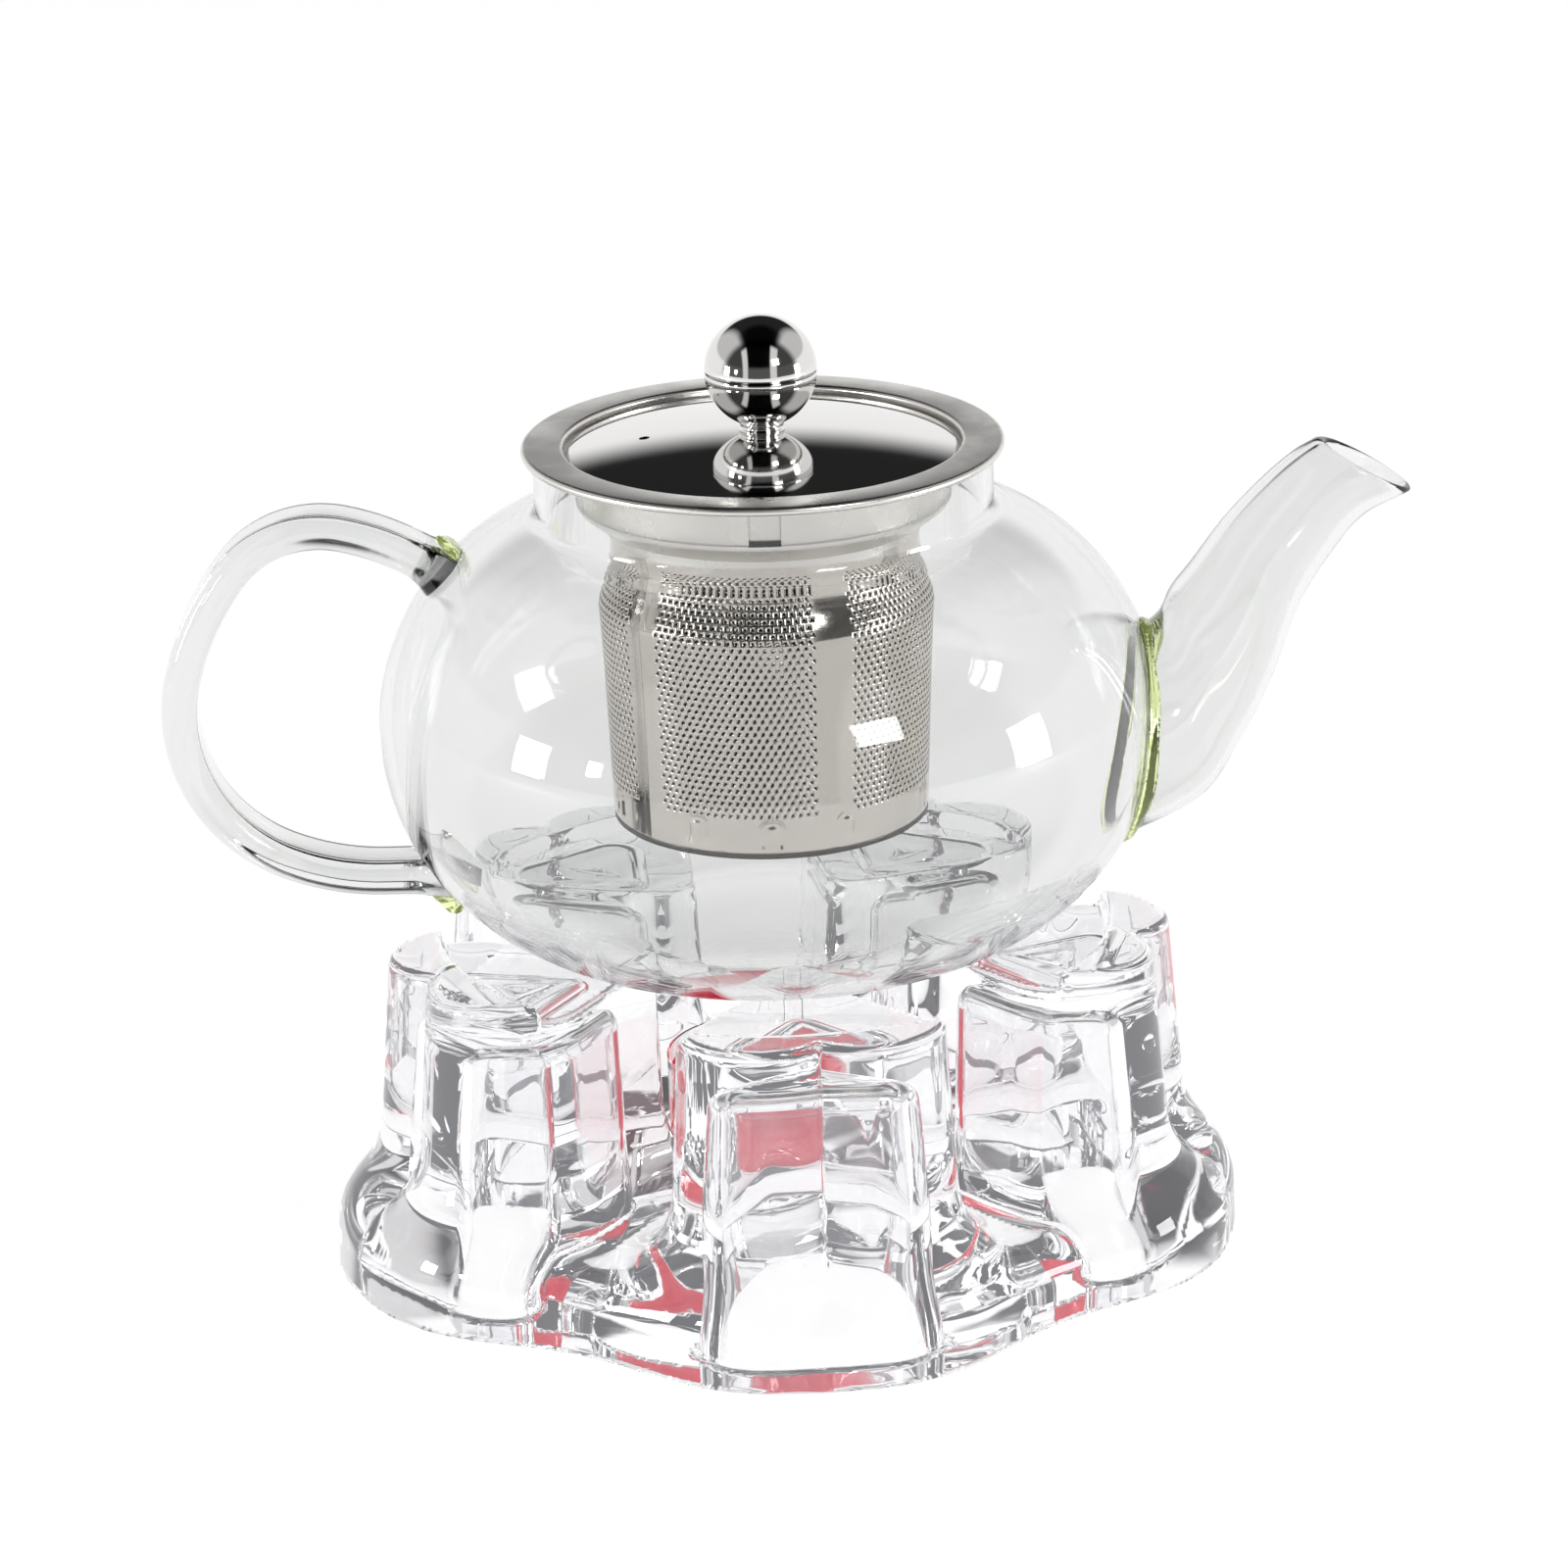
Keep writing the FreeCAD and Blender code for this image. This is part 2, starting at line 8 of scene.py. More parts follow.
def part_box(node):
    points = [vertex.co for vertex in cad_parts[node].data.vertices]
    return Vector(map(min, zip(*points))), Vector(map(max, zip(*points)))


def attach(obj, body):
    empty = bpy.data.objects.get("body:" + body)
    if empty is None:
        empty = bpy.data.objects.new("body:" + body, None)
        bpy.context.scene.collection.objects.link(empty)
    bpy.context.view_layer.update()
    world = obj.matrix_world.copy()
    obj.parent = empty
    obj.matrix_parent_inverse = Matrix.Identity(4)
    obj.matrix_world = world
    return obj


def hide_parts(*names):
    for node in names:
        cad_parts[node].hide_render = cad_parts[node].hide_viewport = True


# A round glass teapot with a steel infuser and lid, on a pressed-glass warmer over a
# tealight. Metres, +Z up, the spout towards +X, the handle towards -X.

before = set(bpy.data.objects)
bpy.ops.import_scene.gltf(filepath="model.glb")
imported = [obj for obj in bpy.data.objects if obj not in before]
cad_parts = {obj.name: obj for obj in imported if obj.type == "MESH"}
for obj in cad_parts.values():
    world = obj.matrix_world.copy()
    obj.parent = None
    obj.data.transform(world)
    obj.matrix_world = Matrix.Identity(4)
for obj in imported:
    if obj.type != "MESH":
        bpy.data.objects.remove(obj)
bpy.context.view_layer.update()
MM = 0.001

# ---- sizes read from the frame
BODY_LOW, BODY_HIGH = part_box("glass_body")
WARMER_LOW, WARMER_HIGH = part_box("warmer_glass")
COLLAR_LOW, COLLAR_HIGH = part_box("infuser_collar")
BASKET_LOW, BASKET_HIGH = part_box("infuser_basket")
SKIRT_LOW, SKIRT_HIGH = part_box("lid_skirt")
BALL_LOW, BALL_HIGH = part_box("knob_upper_shell")
SPACER_LOW, SPACER_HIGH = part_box("knob_spacer")
CUP_LOW, CUP_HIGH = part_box("tealight_cup")
WAX_LOW, WAX_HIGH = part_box("tealight_wax")
WICK_LOW, WICK_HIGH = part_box("tealight_wick")

SEAT = BODY_LOW[2]
RIM = BODY_HIGH[2]
BELLY = BODY_HIGH[1]
COLUMN_TOP = WARMER_HIGH[2]

# ---- pot: the same driving sizes as the solids
WALL = 2.0 * MM
BELLY_DROP = 39.0 * MM
BELLY_Z = SEAT + BELLY_DROP
SHOULDER_RISE = 37.1 * MM
SHOULDER_INSET = 9.5 * MM
NECK = 38.3 * MM
NECK_ROUND = 3.0 * MM
FOOT = 26.5 * MM
FOOT_PUSH = 0.6 * MM          # the underside's middle is pushed up a little
SHOULDER_CENTRE = NECK - SHOULDER_INSET
SHOULDER_HALF = BELLY - SHOULDER_CENTRE
JOIN_GAP = 0.03 * MM          # between glass pieces that are fused together

# ---- spout and handle
SPOUT_WALL = 1.8 * MM
SPOUT_ROOT = 17.9 * MM
SPOUT_ROOT_Z = BELLY_Z - 4.6 * MM
SPOUT_SECTIONS = [
    # outwards from the belly, above its ring, slope in degrees, half height, half width
    (3.6, 0.2, 12.0, 16.1, 15.6),
    (8.0, 7.3, 25.0, 14.1, 13.2),
    (12.2, 14.5, 33.0, 12.2, 11.4),
    (17.5, 25.0, 40.0, 9.7, 9.3),
    (23.5, 33.0, 45.0, 8.5, 8.1),
    (28.5, 38.0, 48.0, 8.0, 7.4),
    (33.9, 40.9, 60.0, 9.1, 6.7),
]
HANDLE_THICK = 6.0 * MM
HANDLE_WIDE = 12.0 * MM
HANDLE_ROUND = 2.7 * MM
HANDLE_START_ABOVE = 26.8 * MM
HANDLE_START_ANGLE = 142.5
HANDLE_ARCS = [(41.5, 25.0), (18.6, 65.0), (50.0, 23.0), (27.7, 82.0)]
HANDLE_LAST_RADIUS = 43.0
HANDLE_FLARE = 0.3            # how much the rod widens where it meets the belly
HANDLE_FLARE_LENGTH = 6.0 * MM

# ---- infuser and lid
SHEET = 0.5 * MM
FLANGE = 40.2 * MM
FLANGE_ROLL = 0.75 * MM
FLANGE_OPENING = 33.2 * MM
FLANGE_TOP = COLLAR_HIGH[2]
LEDGE = FLANGE_TOP - 1.9 * MM
COLLAR = 31.3 * MM
COLLAR_WALL = 7.5 * MM
COLLAR_FUNNEL = 3.2 * MM
BASKET_NECK = 25.8 * MM
BASKET_NECK_LENGTH = 7.3 * MM
BASKET_SHOULDER = 27.9 * MM
BASKET_SHOULDER_DEPTH = 15.3 * MM
BASKET_BOTTOM = 26.5 * MM
BASKET_LIP = 1.6 * MM
BASKET_TOP = BASKET_HIGH[2]
WINDOW = 5.2 * MM
WINDOW_SILL = 0.4 * MM
LID = FLANGE_OPENING - 0.8 * MM
LID_THICK = 0.6 * MM
LID_RISE = 3.2 * MM
VENT = 0.9 * MM
VENT_REACH = 19.6 * MM
SCREW_HOLE = 2.2 * MM
KNOB = BALL_HIGH[1]
KNOB_Z = BALL_LOW[2]
KNOB_WALL = 0.8 * MM

# ---- warmer
LOBES = 5
FIRST_COLUMN = -84.0
PLATE_LOBE_REACH = 77.5 * MM
PLATE_LOBE = 40.0 * MM
PLATE_BLEND = 18.0 * MM       # fills the plate's valleys between two lobes
PLATE_HEIGHT = 14.0 * MM
COLUMN_REACH = 66.0 * MM
COLUMN_LOBE = 13.5 * MM
COLUMN_SPREAD = 8.5 * MM
COLUMN_TIP = 5.0 * MM
COLUMN_TIP_REACH = 23.0 * MM
COLUMN_DRAFT = 2.4 * MM
COLUMN_FLARE = 0.03           # each column's plan grows outwards by this share at its foot
COLUMN_FILLET = 13.0 * MM
COLUMN_WALL = 8.0 * MM
COLUMN_CEILING = 9.5 * MM
HOLLOW_TIP = 3.5 * MM
SEAT_RECESS = 56.5 * MM
LIGHT_RECESS = 20.3 * MM
LIGHT_Z = CUP_LOW[2]


# ------------------------------------------------------------------ mesh helpers

def piece(name, vertices, faces, material, body, slot, *nodes, smooth_angle=40.0):
    """A mesh object that rides on a body and stands for the named CAD nodes."""
    mesh = bpy.data.meshes.new(name)
    mesh.from_pydata([tuple(map(float, v)) for v in vertices], [], [tuple(map(int, f)) for f in faces])
    mesh.validate()
    mesh.update()
    obj = bpy.data.objects.new(name, mesh)
    bpy.context.collection.objects.link(obj)
    finish_piece(obj, material, body, nodes, smooth_angle)
    return obj


def finish_piece(obj, material, body, nodes, smooth_angle):
    obj.data.materials.clear()
    obj.data.materials.append(material)
    obj.data.polygons.foreach_set("use_smooth", [True] * len(obj.data.polygons))
    obj.data.set_sharp_from_angle(angle=math.radians(smooth_angle))
    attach(obj, body)
    if nodes:
        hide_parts(*nodes)


def arc(cx, cz, radius, start, end, steps):
    """Points on a circle in the RZ plane, angles in degrees."""
    angles = np.radians(np.linspace(start, end, steps + 1))
    return [(cx + radius * math.cos(a), cz + radius * math.sin(a)) for a in angles]


def rounded(corners, steps=6):
    """A polyline of (r, z, fillet radius) corners with each corner rounded."""
    line = []
    for index, (r, z, fillet) in enumerate(corners):
        if fillet <= 0 or index in (0, len(corners) - 1):
            line.append((r, z))
            continue
        here = np.array((r, z))
        back = np.array(corners[index - 1][:2]) - here
        ahead = np.array(corners[index + 1][:2]) - here
        back_length, ahead_length = np.linalg.norm(back), np.linalg.norm(ahead)
        back, ahead = back / back_length, ahead / ahead_length
        half = math.acos(max(-1.0, min(1.0, float(back @ ahead)))) / 2.0
        reach = min(fillet / math.tan(half), 0.49 * back_length, 0.49 * ahead_length)
        start, end = here + back * reach, here + ahead * reach
        for share in np.linspace(0.0, 1.0, steps + 1):
            line.append(tuple((1 - share) ** 2 * start + 2 * share * (1 - share) * here + share ** 2 * end))
    return line


def offset(line, distance):
    """The same open line moved to its left by a distance, point by point."""
    points = np.array(line)
    step = np.gradient(points, axis=0)
    step /= np.linalg.norm(step, axis=1)[:, None]
    return [tuple(p) for p in points + distance * np.stack([-step[:, 1], step[:, 0]], 1)]


def sheet_outline(line, thickness):
    """The closed outline of a bent sheet, from its middle line."""
    return offset(line, thickness / 2) + offset(line, -thickness / 2)[::-1]


def lathe(outline, segments=192):
    """Vertices and faces of a closed outline of (r, z) turned about Z."""
    count = len(outline)
    vertices, index_of = [], []
    angles = np.linspace(0, 2 * math.pi, segments, endpoint=False)
    for r, z in outline:
        if r < 1e-7:
            index_of.append([len(vertices)] * segments)
            vertices.append((0.0, 0.0, z))
        else:
            index_of.append(list(range(len(vertices), len(vertices) + segments)))
            vertices.extend((r * math.cos(a), r * math.sin(a), z) for a in angles)
    faces = []
    for i in range(count):
        here, there = index_of[i], index_of[(i + 1) % count]
        for k in range(segments):
            corners = [here[k], here[(k + 1) % segments], there[(k + 1) % segments], there[k]]
            unique = list(dict.fromkeys(corners))
            if len(unique) > 2:
                faces.append(unique)
    return vertices, faces


def face_outwards(obj):
    """Turns a closed mesh's faces so that its volume is positive."""
    mesh = obj.data
    mesh.calc_loop_triangles()
    points = np.empty(len(mesh.vertices) * 3)
    mesh.vertices.foreach_get("co", points)
    points = points.reshape(-1, 3)
    corners = np.empty(len(mesh.loop_triangles) * 3, dtype=np.int64)
    mesh.loop_triangles.foreach_get("vertices", corners)
    a, b, c = (points[corners.reshape(-1, 3)[:, k]] for k in range(3))
    if np.einsum("ij,ij->i", a, np.cross(b, c)).sum() < 0:
        mesh.flip_normals()


def cut(obj, vertices, faces):
    """Cuts a closed tool mesh out of a piece."""
    mesh = bpy.data.meshes.new("tool")
    mesh.from_pydata(vertices, [], faces)
    tool = bpy.data.objects.new("tool", mesh)
    bpy.context.collection.objects.link(tool)
    face_outwards(tool)
    face_outwards(obj)
    modifier = obj.modifiers.new("cut", "BOOLEAN")
    modifier.operation = "DIFFERENCE"
    modifier.solver = "EXACT"
    modifier.object = tool
    result = bpy.data.meshes.new_from_object(obj.evaluated_get(bpy.context.evaluated_depsgraph_get()))
    obj.modifiers.clear()
    old = obj.data
    obj.data = result
    bpy.data.meshes.remove(old)
    bpy.data.objects.remove(tool)
    bpy.data.meshes.remove(mesh)
    obj.data.polygons.foreach_set("use_smooth", [True] * len(obj.data.polygons))
    obj.data.set_sharp_from_angle(angle=math.radians(40.0))


def rod_tool(radius, start, along, length, segments=96):
    """A closed cylinder from start in the direction along."""
    along = Vector(along).normalized()
    side = along.orthogonal().normalized()
    other = along.cross(side)
    vertices = []
    for end in (0.0, length):
        for k in range(segments):
            a = 2 * math.pi * k / segments
            p = Vector(start) + along * end + side * radius * math.cos(a) + other * radius * math.sin(a)
            vertices.append(tuple(p))
    faces = [(k, (k + 1) % segments, segments + (k + 1) % segments, segments + k) for k in range(segments)]
    faces += [tuple(range(segments))[::-1], tuple(range(segments, 2 * segments))]
    return vertices, faces


def box_tool(low, high):
    vertices = [(x, y, z) for z in (low[2], high[2]) for y in (low[1], high[1]) for x in (low[0], high[0])]
    faces = [(0, 2, 3, 1), (4, 5, 7, 6), (0, 1, 5, 4), (2, 6, 7, 3), (0, 4, 6, 2), (1, 3, 7, 5)]
    return vertices, faces


def spline(stations, per_step):
    """Points on smooth curves through a list of arrays, per_step between two of them."""
    knots = [2 * stations[0] - stations[1]] + list(stations) + [2 * stations[-1] - stations[-2]]
    line = []
    for index in range(1, len(knots) - 2):
        a, b, c, d = knots[index - 1:index + 3]
        for t in np.arange(per_step) / per_step:
            line.append(0.5 * (2 * b + (c - a) * t + (2 * a - 5 * b + 4 * c - d) * t * t
                               + (3 * b - a - 3 * c + d) * t ** 3))
    return line + [knots[-2]]


def tube(rings, closed_ends=True):
    """Faces between rings of equal point counts; ends capped with one face each."""
    count = len(rings[0])
    faces = []
    for i in range(len(rings) - 1):
        for k in range(count):
            near, far = i * count, (i + 1) * count
            faces.append((near + k, near + (k + 1) % count, far + (k + 1) % count, far + k))
    if closed_ends:
        faces.append(tuple(range(count))[::-1])
        faces.append(tuple(range((len(rings) - 1) * count, len(rings) * count)))
    return [tuple(p) for ring in rings for p in ring], faces


# ------------------------------------------------- solids from distance functions

def smooth_min(a, b, blend):
    share = np.clip(0.5 + 0.5 * (b - a) / blend, 0.0, 1.0)
    return b * (1 - share) + a * share - blend * share * (1 - share)


def smooth_max(a, b, blend):
    return -smooth_min(-a, -b, blend)


def surface_net(distance, low, high, step):
    """A quad mesh on the zero surface of distance(x, y, z) inside a box."""
    axes = [np.arange(low[k] - 2 * step, high[k] + 3 * step, step) for k in range(3)]
    grid = np.meshgrid(*axes, indexing="ij")
    value = distance(*grid)
    inside = value < 0
    size = np.array(value.shape)
    corner_sum = sum(inside[i:size[0] - 1 + i, j:size[1] - 1 + j, k:size[2] - 1 + k].astype(np.int8)
                     for i in (0, 1) for j in (0, 1) for k in (0, 1))
    active = (corner_sum > 0) & (corner_sum < 8)
    cells = np.argwhere(active)
    number = np.full(active.shape, -1, dtype=np.int64)
    number[active] = np.arange(len(cells))
    points = np.stack([axes[k][cells[:, k]] + step / 2 for k in range(3)], 1)
    for _ in range(6):
        here = distance(*points.T)
        slope = np.stack([(distance(*(points + shift).T) - distance(*(points - shift).T)) / (0.1 * step)
                          for shift in np.eye(3) * 0.05 * step], 1)
        move = -here[:, None] * slope / np.maximum((slope ** 2).sum(1), 0.2)[:, None]
        reach = np.linalg.norm(move, axis=1)
        points += move * np.minimum(1.0, 0.4 * step / np.maximum(reach, 1e-12))[:, None]
    faces = []
    for axis in range(3):
        one, two = [k for k in range(3) if k != axis]
        first = inside
        second = np.roll(inside, -1, axis)
        change = first != second
        trimmed = [slice(1, size[k] - 1) for k in range(3)]
        trimmed[axis] = slice(0, size[axis] - 1)
        where = np.argwhere(change[tuple(trimmed)]) + np.array([s.start for s in trimmed])
        outwards = first[tuple(where.T)]
        quad = []
        for da, db in ((0, 0), (1, 0), (1, 1), (0, 1)):
            cell = where.copy()
            cell[:, one] -= da
            cell[:, two] -= db
            quad.append(number[tuple(cell.T)])
        quad = np.stack(quad, 1)
        flip = outwards if axis != 1 else ~outwards
        quad[flip] = quad[flip][:, ::-1]
        faces.append(quad[:, ::-1])
    return points, np.concatenate(faces)


def set_normals(obj, distance, step):
    """Gives a mesh the exact normals of its distance function."""
    points = np.array([v.co for v in obj.data.vertices])
    slope = np.stack([distance(*(points + shift).T) - distance(*(points - shift).T)
                      for shift in np.eye(3) * 0.25 * step], 1)
    slope /= np.linalg.norm(slope, axis=1)[:, None]
    obj.data.normals_split_custom_set_from_vertices([tuple(n) for n in slope])


# ------------------------------------------------------------------ materials

def material(name, **values):
    made = bpy.data.materials.new(name)
    made.use_nodes = True
    shader = made.node_tree.nodes["Principled BSDF"]
    for key, value in values.items():
        shader.inputs[key.replace("_", " ")].default_value = value
    return made, made.node_tree, shader


def add_node(tree, kind, **values):
    node = tree.nodes.new(kind)
    for key, value in values.items():
        if hasattr(node, key):
            setattr(node, key, value)
        else:
            node.inputs[key.replace("_", " ")].default_value = value
    return node


def place_texture(tree, scale):
    """Object coordinates, stretched by a scale per axis."""
    where = tree.nodes.new("ShaderNodeTexCoord")
    mapping = add_node(tree, "ShaderNodeMapping", Scale=scale)
    tree.links.new(where.outputs["Object"], mapping.inputs["Vector"])
    return mapping.outputs["Vector"]


def add_bump(tree, shader, height, strength, distance, normal=None):
    bump = add_node(tree, "ShaderNodeBump", Strength=strength, Distance=distance)
    tree.links.new(height, bump.inputs["Height"])
    if normal is not None:
        tree.links.new(normal, bump.inputs["Normal"])
    tree.links.new(bump.outputs["Normal"], shader.inputs["Normal"])
    return bump.outputs["Normal"]


def vary_roughness(tree, shader, texture, low, high):
    spread = add_node(tree, "ShaderNodeMapRange", From_Min=0.3, From_Max=0.7, To_Min=low, To_Max=high)
    tree.links.new(texture, spread.inputs["Value"])
    tree.links.new(spread.outputs["Result"], shader.inputs["Roughness"])


def glass(name, colour, ior, waviness, wave_size, rough=(0.0, 0.012), glow=(0, 0, 0)):
    """Clear glass; glow stands for the light that many inner reflections bring back out."""
    made, tree, shader = material(name, Base_Color=(*colour, 1), IOR=ior, Transmission_Weight=1.0,
                                  Emission_Color=(*glow, 1), Emission_Strength=1.0)
    slow = add_node(tree, "ShaderNodeTexNoise", Scale=1.0 / wave_size, Detail=2.0, Roughness=0.4)
    tree.links.new(place_texture(tree, (1, 1, 1)), slow.inputs["Vector"])
    add_bump(tree, shader, slow.outputs["Fac"], 1.0, waviness)
    smudge = add_node(tree, "ShaderNodeTexNoise", Scale=60.0, Detail=5.0, Roughness=0.6)
    tree.links.new(place_texture(tree, (1, 1, 1)), smudge.inputs["Vector"])
    vary_roughness(tree, shader, smudge.outputs["Fac"], *rough)
    return made


def steel(name, colour, rough, marks, mark_scale, anisotropic=0.0):
    """Spun or rolled steel: marks run round the axis, with faint cloudy wear."""
    made, tree, shader = material(name, Base_Color=(*colour, 1), Metallic=1.0, Anisotropic=anisotropic)
    streaks = add_node(tree, "ShaderNodeTexNoise", Scale=1.0, Detail=4.0, Roughness=0.65)
    tree.links.new(place_texture(tree, mark_scale), streaks.inputs["Vector"])
    cloud = add_node(tree, "ShaderNodeTexNoise", Scale=90.0, Detail=4.0, Roughness=0.6)
    tree.links.new(place_texture(tree, (1, 1, 1)), cloud.inputs["Vector"])
    add_bump(tree, shader, streaks.outputs["Fac"], 0.35, marks)
    vary_roughness(tree, shader, cloud.outputs["Fac"], *rough)
    return made


POT_GLASS = glass("pot_glass", (0.89, 0.895, 0.89), 1.47, 0.05 * MM, 26 * MM)
ROD_GLASS = glass("rod_glass", (0.82, 0.83, 0.82), 1.47, 0.1 * MM, 12 * MM)
SEAL_GLASS = glass("seal_glass", (0.86, 0.95, 0.5), 1.4, 0.3 * MM, 4 * MM,
                   glow=(0.035, 0.042, 0.016))
CRYSTAL = glass("crystal_glass", (0.91, 0.91, 0.915), 1.42, 0.12 * MM, 18 * MM, (0.0, 0.02),
                (0.03, 0.03, 0.032))
CUP_GLASS = glass("cup_glass", (0.97, 0.97, 0.97), 1.45, 0.05 * MM, 8 * MM, (0.02, 0.05))
POLISHED = steel("polished_steel", (0.78, 0.77, 0.76), (0.03, 0.07), 0.002 * MM, (250, 250, 2500))
BRUSHED = steel("brushed_steel", (0.74, 0.72, 0.69), (0.22, 0.34), 0.02 * MM, (60, 60, 9000), 0.5)
BASKET = steel("basket_steel", (0.62, 0.585, 0.55), (0.1, 0.17), 0.012 * MM, (500, 500, 200))
# The basket's inner face and hole rims: the same steel made near black, as painted shade inside the basket.
SHADED_BASKET_INSIDE = steel("basket_inside_painted_shade", (0.1, 0.095, 0.09), (0.4, 0.5), 0.02 * MM, (900, 900, 400))
PLAIN = steel("plain_steel", (0.6, 0.6, 0.6), (0.3, 0.45), 0.02 * MM, (400, 400, 4000))


def wax_material():
    # The red emission is a painted glow that makes the wax read brighter; the wax is no lamp.
    made, tree, shader = material("red_wax", Base_Color=(0.85, 0.03, 0.07, 1), Subsurface_Weight=0.2,
                                  Subsurface_Radius=(0.006, 0.001, 0.001), Subsurface_Scale=1.0,
                                  Emission_Color=(0.9, 0.03, 0.08, 1), Emission_Strength=0.35)
    cloud = add_node(tree, "ShaderNodeTexNoise", Scale=180.0, Detail=6.0, Roughness=0.6)
    tree.links.new(place_texture(tree, (1, 1, 1)), cloud.inputs["Vector"])
    add_bump(tree, shader, cloud.outputs["Fac"], 0.4, 0.15 * MM)
    vary_roughness(tree, shader, cloud.outputs["Fac"], 0.25, 0.5)
    return made


def cotton_material():
    made, tree, shader = material("wick_cotton", Base_Color=(0.85, 0.82, 0.75, 1), Roughness=0.85)
    braid = add_node(tree, "ShaderNodeTexWave", Scale=900.0, Distortion=1.5)
    braid.bands_direction = "DIAGONAL"
    tree.links.new(place_texture(tree, (1, 1, 1)), braid.inputs["Vector"])
    add_bump(tree, shader, braid.outputs["Fac"], 0.8, 0.15 * MM)
    return made


WAX = wax_material()
COTTON = cotton_material()


# ------------------------------------------------------------------ pot glass

def belly_radius(height):
    """The pot's outer radius at heights z, below the neck."""
    above = np.asarray(height) - BELLY_Z
    upper = SHOULDER_CENTRE + SHOULDER_HALF * np.sqrt(np.clip(1 - (above / SHOULDER_RISE) ** 2, 0, 1))
    lower = FOOT + (BELLY - FOOT) * np.sqrt(np.clip(1 - (above / BELLY_DROP) ** 2, 0, 1))
    return np.where(above >= 0, upper, lower)


def pot_profile():
    """The outside of the pot from the middle of its underside to its rim."""
    line = [(0.0, SEAT + FOOT_PUSH)]
    line += [(FOOT * share, SEAT + FOOT_PUSH * (1 - share ** 4))
             for share in (0.3, 0.5, 0.65, 0.78, 0.88, 0.95)]
    for a in np.radians(np.linspace(-90, 0, 44)):
        line.append((FOOT + (BELLY - FOOT) * math.cos(a), BELLY_Z + BELLY_DROP * math.sin(a)))
    end = math.degrees(math.acos(SHOULDER_INSET / SHOULDER_HALF))
    shoulder = [(SHOULDER_CENTRE + SHOULDER_HALF * math.cos(a), BELLY_Z + SHOULDER_RISE * math.sin(a))
                for a in np.radians(np.linspace(0, end, 52))[1:]]
    corner = shoulder[-1]
    near = [p for p in shoulder if math.dist(p, corner) > NECK_ROUND]
    tail = rounded([(*near[-1], 0), (*corner, NECK_ROUND), (NECK, corner[1] + 2 * NECK_ROUND, 0)], 10)
    line += near + tail[1:]
    top = RIM - WALL / 2
    line += [(NECK, z) for z in np.linspace(tail[-1][1], top, 6)[1:]]
    return line


def make_pot():
    outside = pot_profile()
    inside = offset(outside, WALL)
    inside[0] = (0.0, inside[0][1])
    inside[-1] = (NECK - WALL, outside[-1][1])
    lip = arc(NECK - WALL / 2, RIM - WALL / 2, WALL / 2, 0, 180, 8)[1:-1]
    vertices, faces = lathe(outside + lip + inside[::-1], 256)
    pot = piece("pot_body", vertices, faces, POT_GLASS, "teapot", "pot_glass", "glass_body")
    hole = rod_tool(SPOUT_ROOT - SPOUT_WALL, (0, 0, SPOUT_ROOT_Z), (1, 0, 0), 2 * BELLY, 128)
    cut(pot, *hole)
    return pot


def spout_ring(out, above, slope, half_height, half_width, inset, count):
    angle = math.radians(slope)
    centre = np.array((BELLY + out * MM, 0, BELLY_Z + above * MM))
    up = np.array((-math.sin(angle), 0, math.cos(angle)))
    side = np.array((0.0, 1.0, 0.0))
    turn = np.linspace(0, 2 * math.pi, count, endpoint=False)[:, None]
    high, wide = half_height * MM - inset, half_width * MM - inset
    return centre + up * high * np.cos(turn) + side * wide * np.sin(turn)


def root_ring(radius, count, gap):
    """A circle round the spout's root, laid on the belly."""
    turn = np.linspace(0, 2 * math.pi, count, endpoint=False)
    y, z = radius * np.sin(turn), SPOUT_ROOT_Z + radius * np.cos(turn)
    x = np.sqrt((belly_radius(z) + gap) ** 2 - y ** 2)
    return np.stack([x, y, z], 1)


def make_spout():
    count = 96
    outer = [root_ring(SPOUT_ROOT, count, JOIN_GAP)]
    inner = [root_ring(SPOUT_ROOT - SPOUT_WALL, count, JOIN_GAP)]
    for section in SPOUT_SECTIONS:
        outer.append(spout_ring(*section, 0.0, count))
        inner.append(spout_ring(*section, SPOUT_WALL, count))
    outer, inner = spline(outer, 10), spline(inner, 10)
    middle = (outer[-1] + inner[-1]) / 2
    half = (outer[-1] - inner[-1]) / 2
    ahead = outer[-1].mean(0) - outer[-2].mean(0)
    ahead /= np.linalg.norm(ahead)
    lip = [middle + half * math.cos(a) + ahead * SPOUT_WALL / 2 * math.sin(a)
           for a in np.linspace(0, math.pi, 9)[1:-1]]
    rings = outer + lip + inner[::-1]
    vertices, faces = tube(rings, False)
    total = len(rings)
    last = (total - 1) * count
    faces += [(last + k, last + (k + 1) % count, (k + 1) % count, k) for k in range(count)]
    spout = piece("spout_tube", vertices, faces, POT_GLASS, "teapot", "pot_glass", "glass_spout")
    face_outwards(spout)


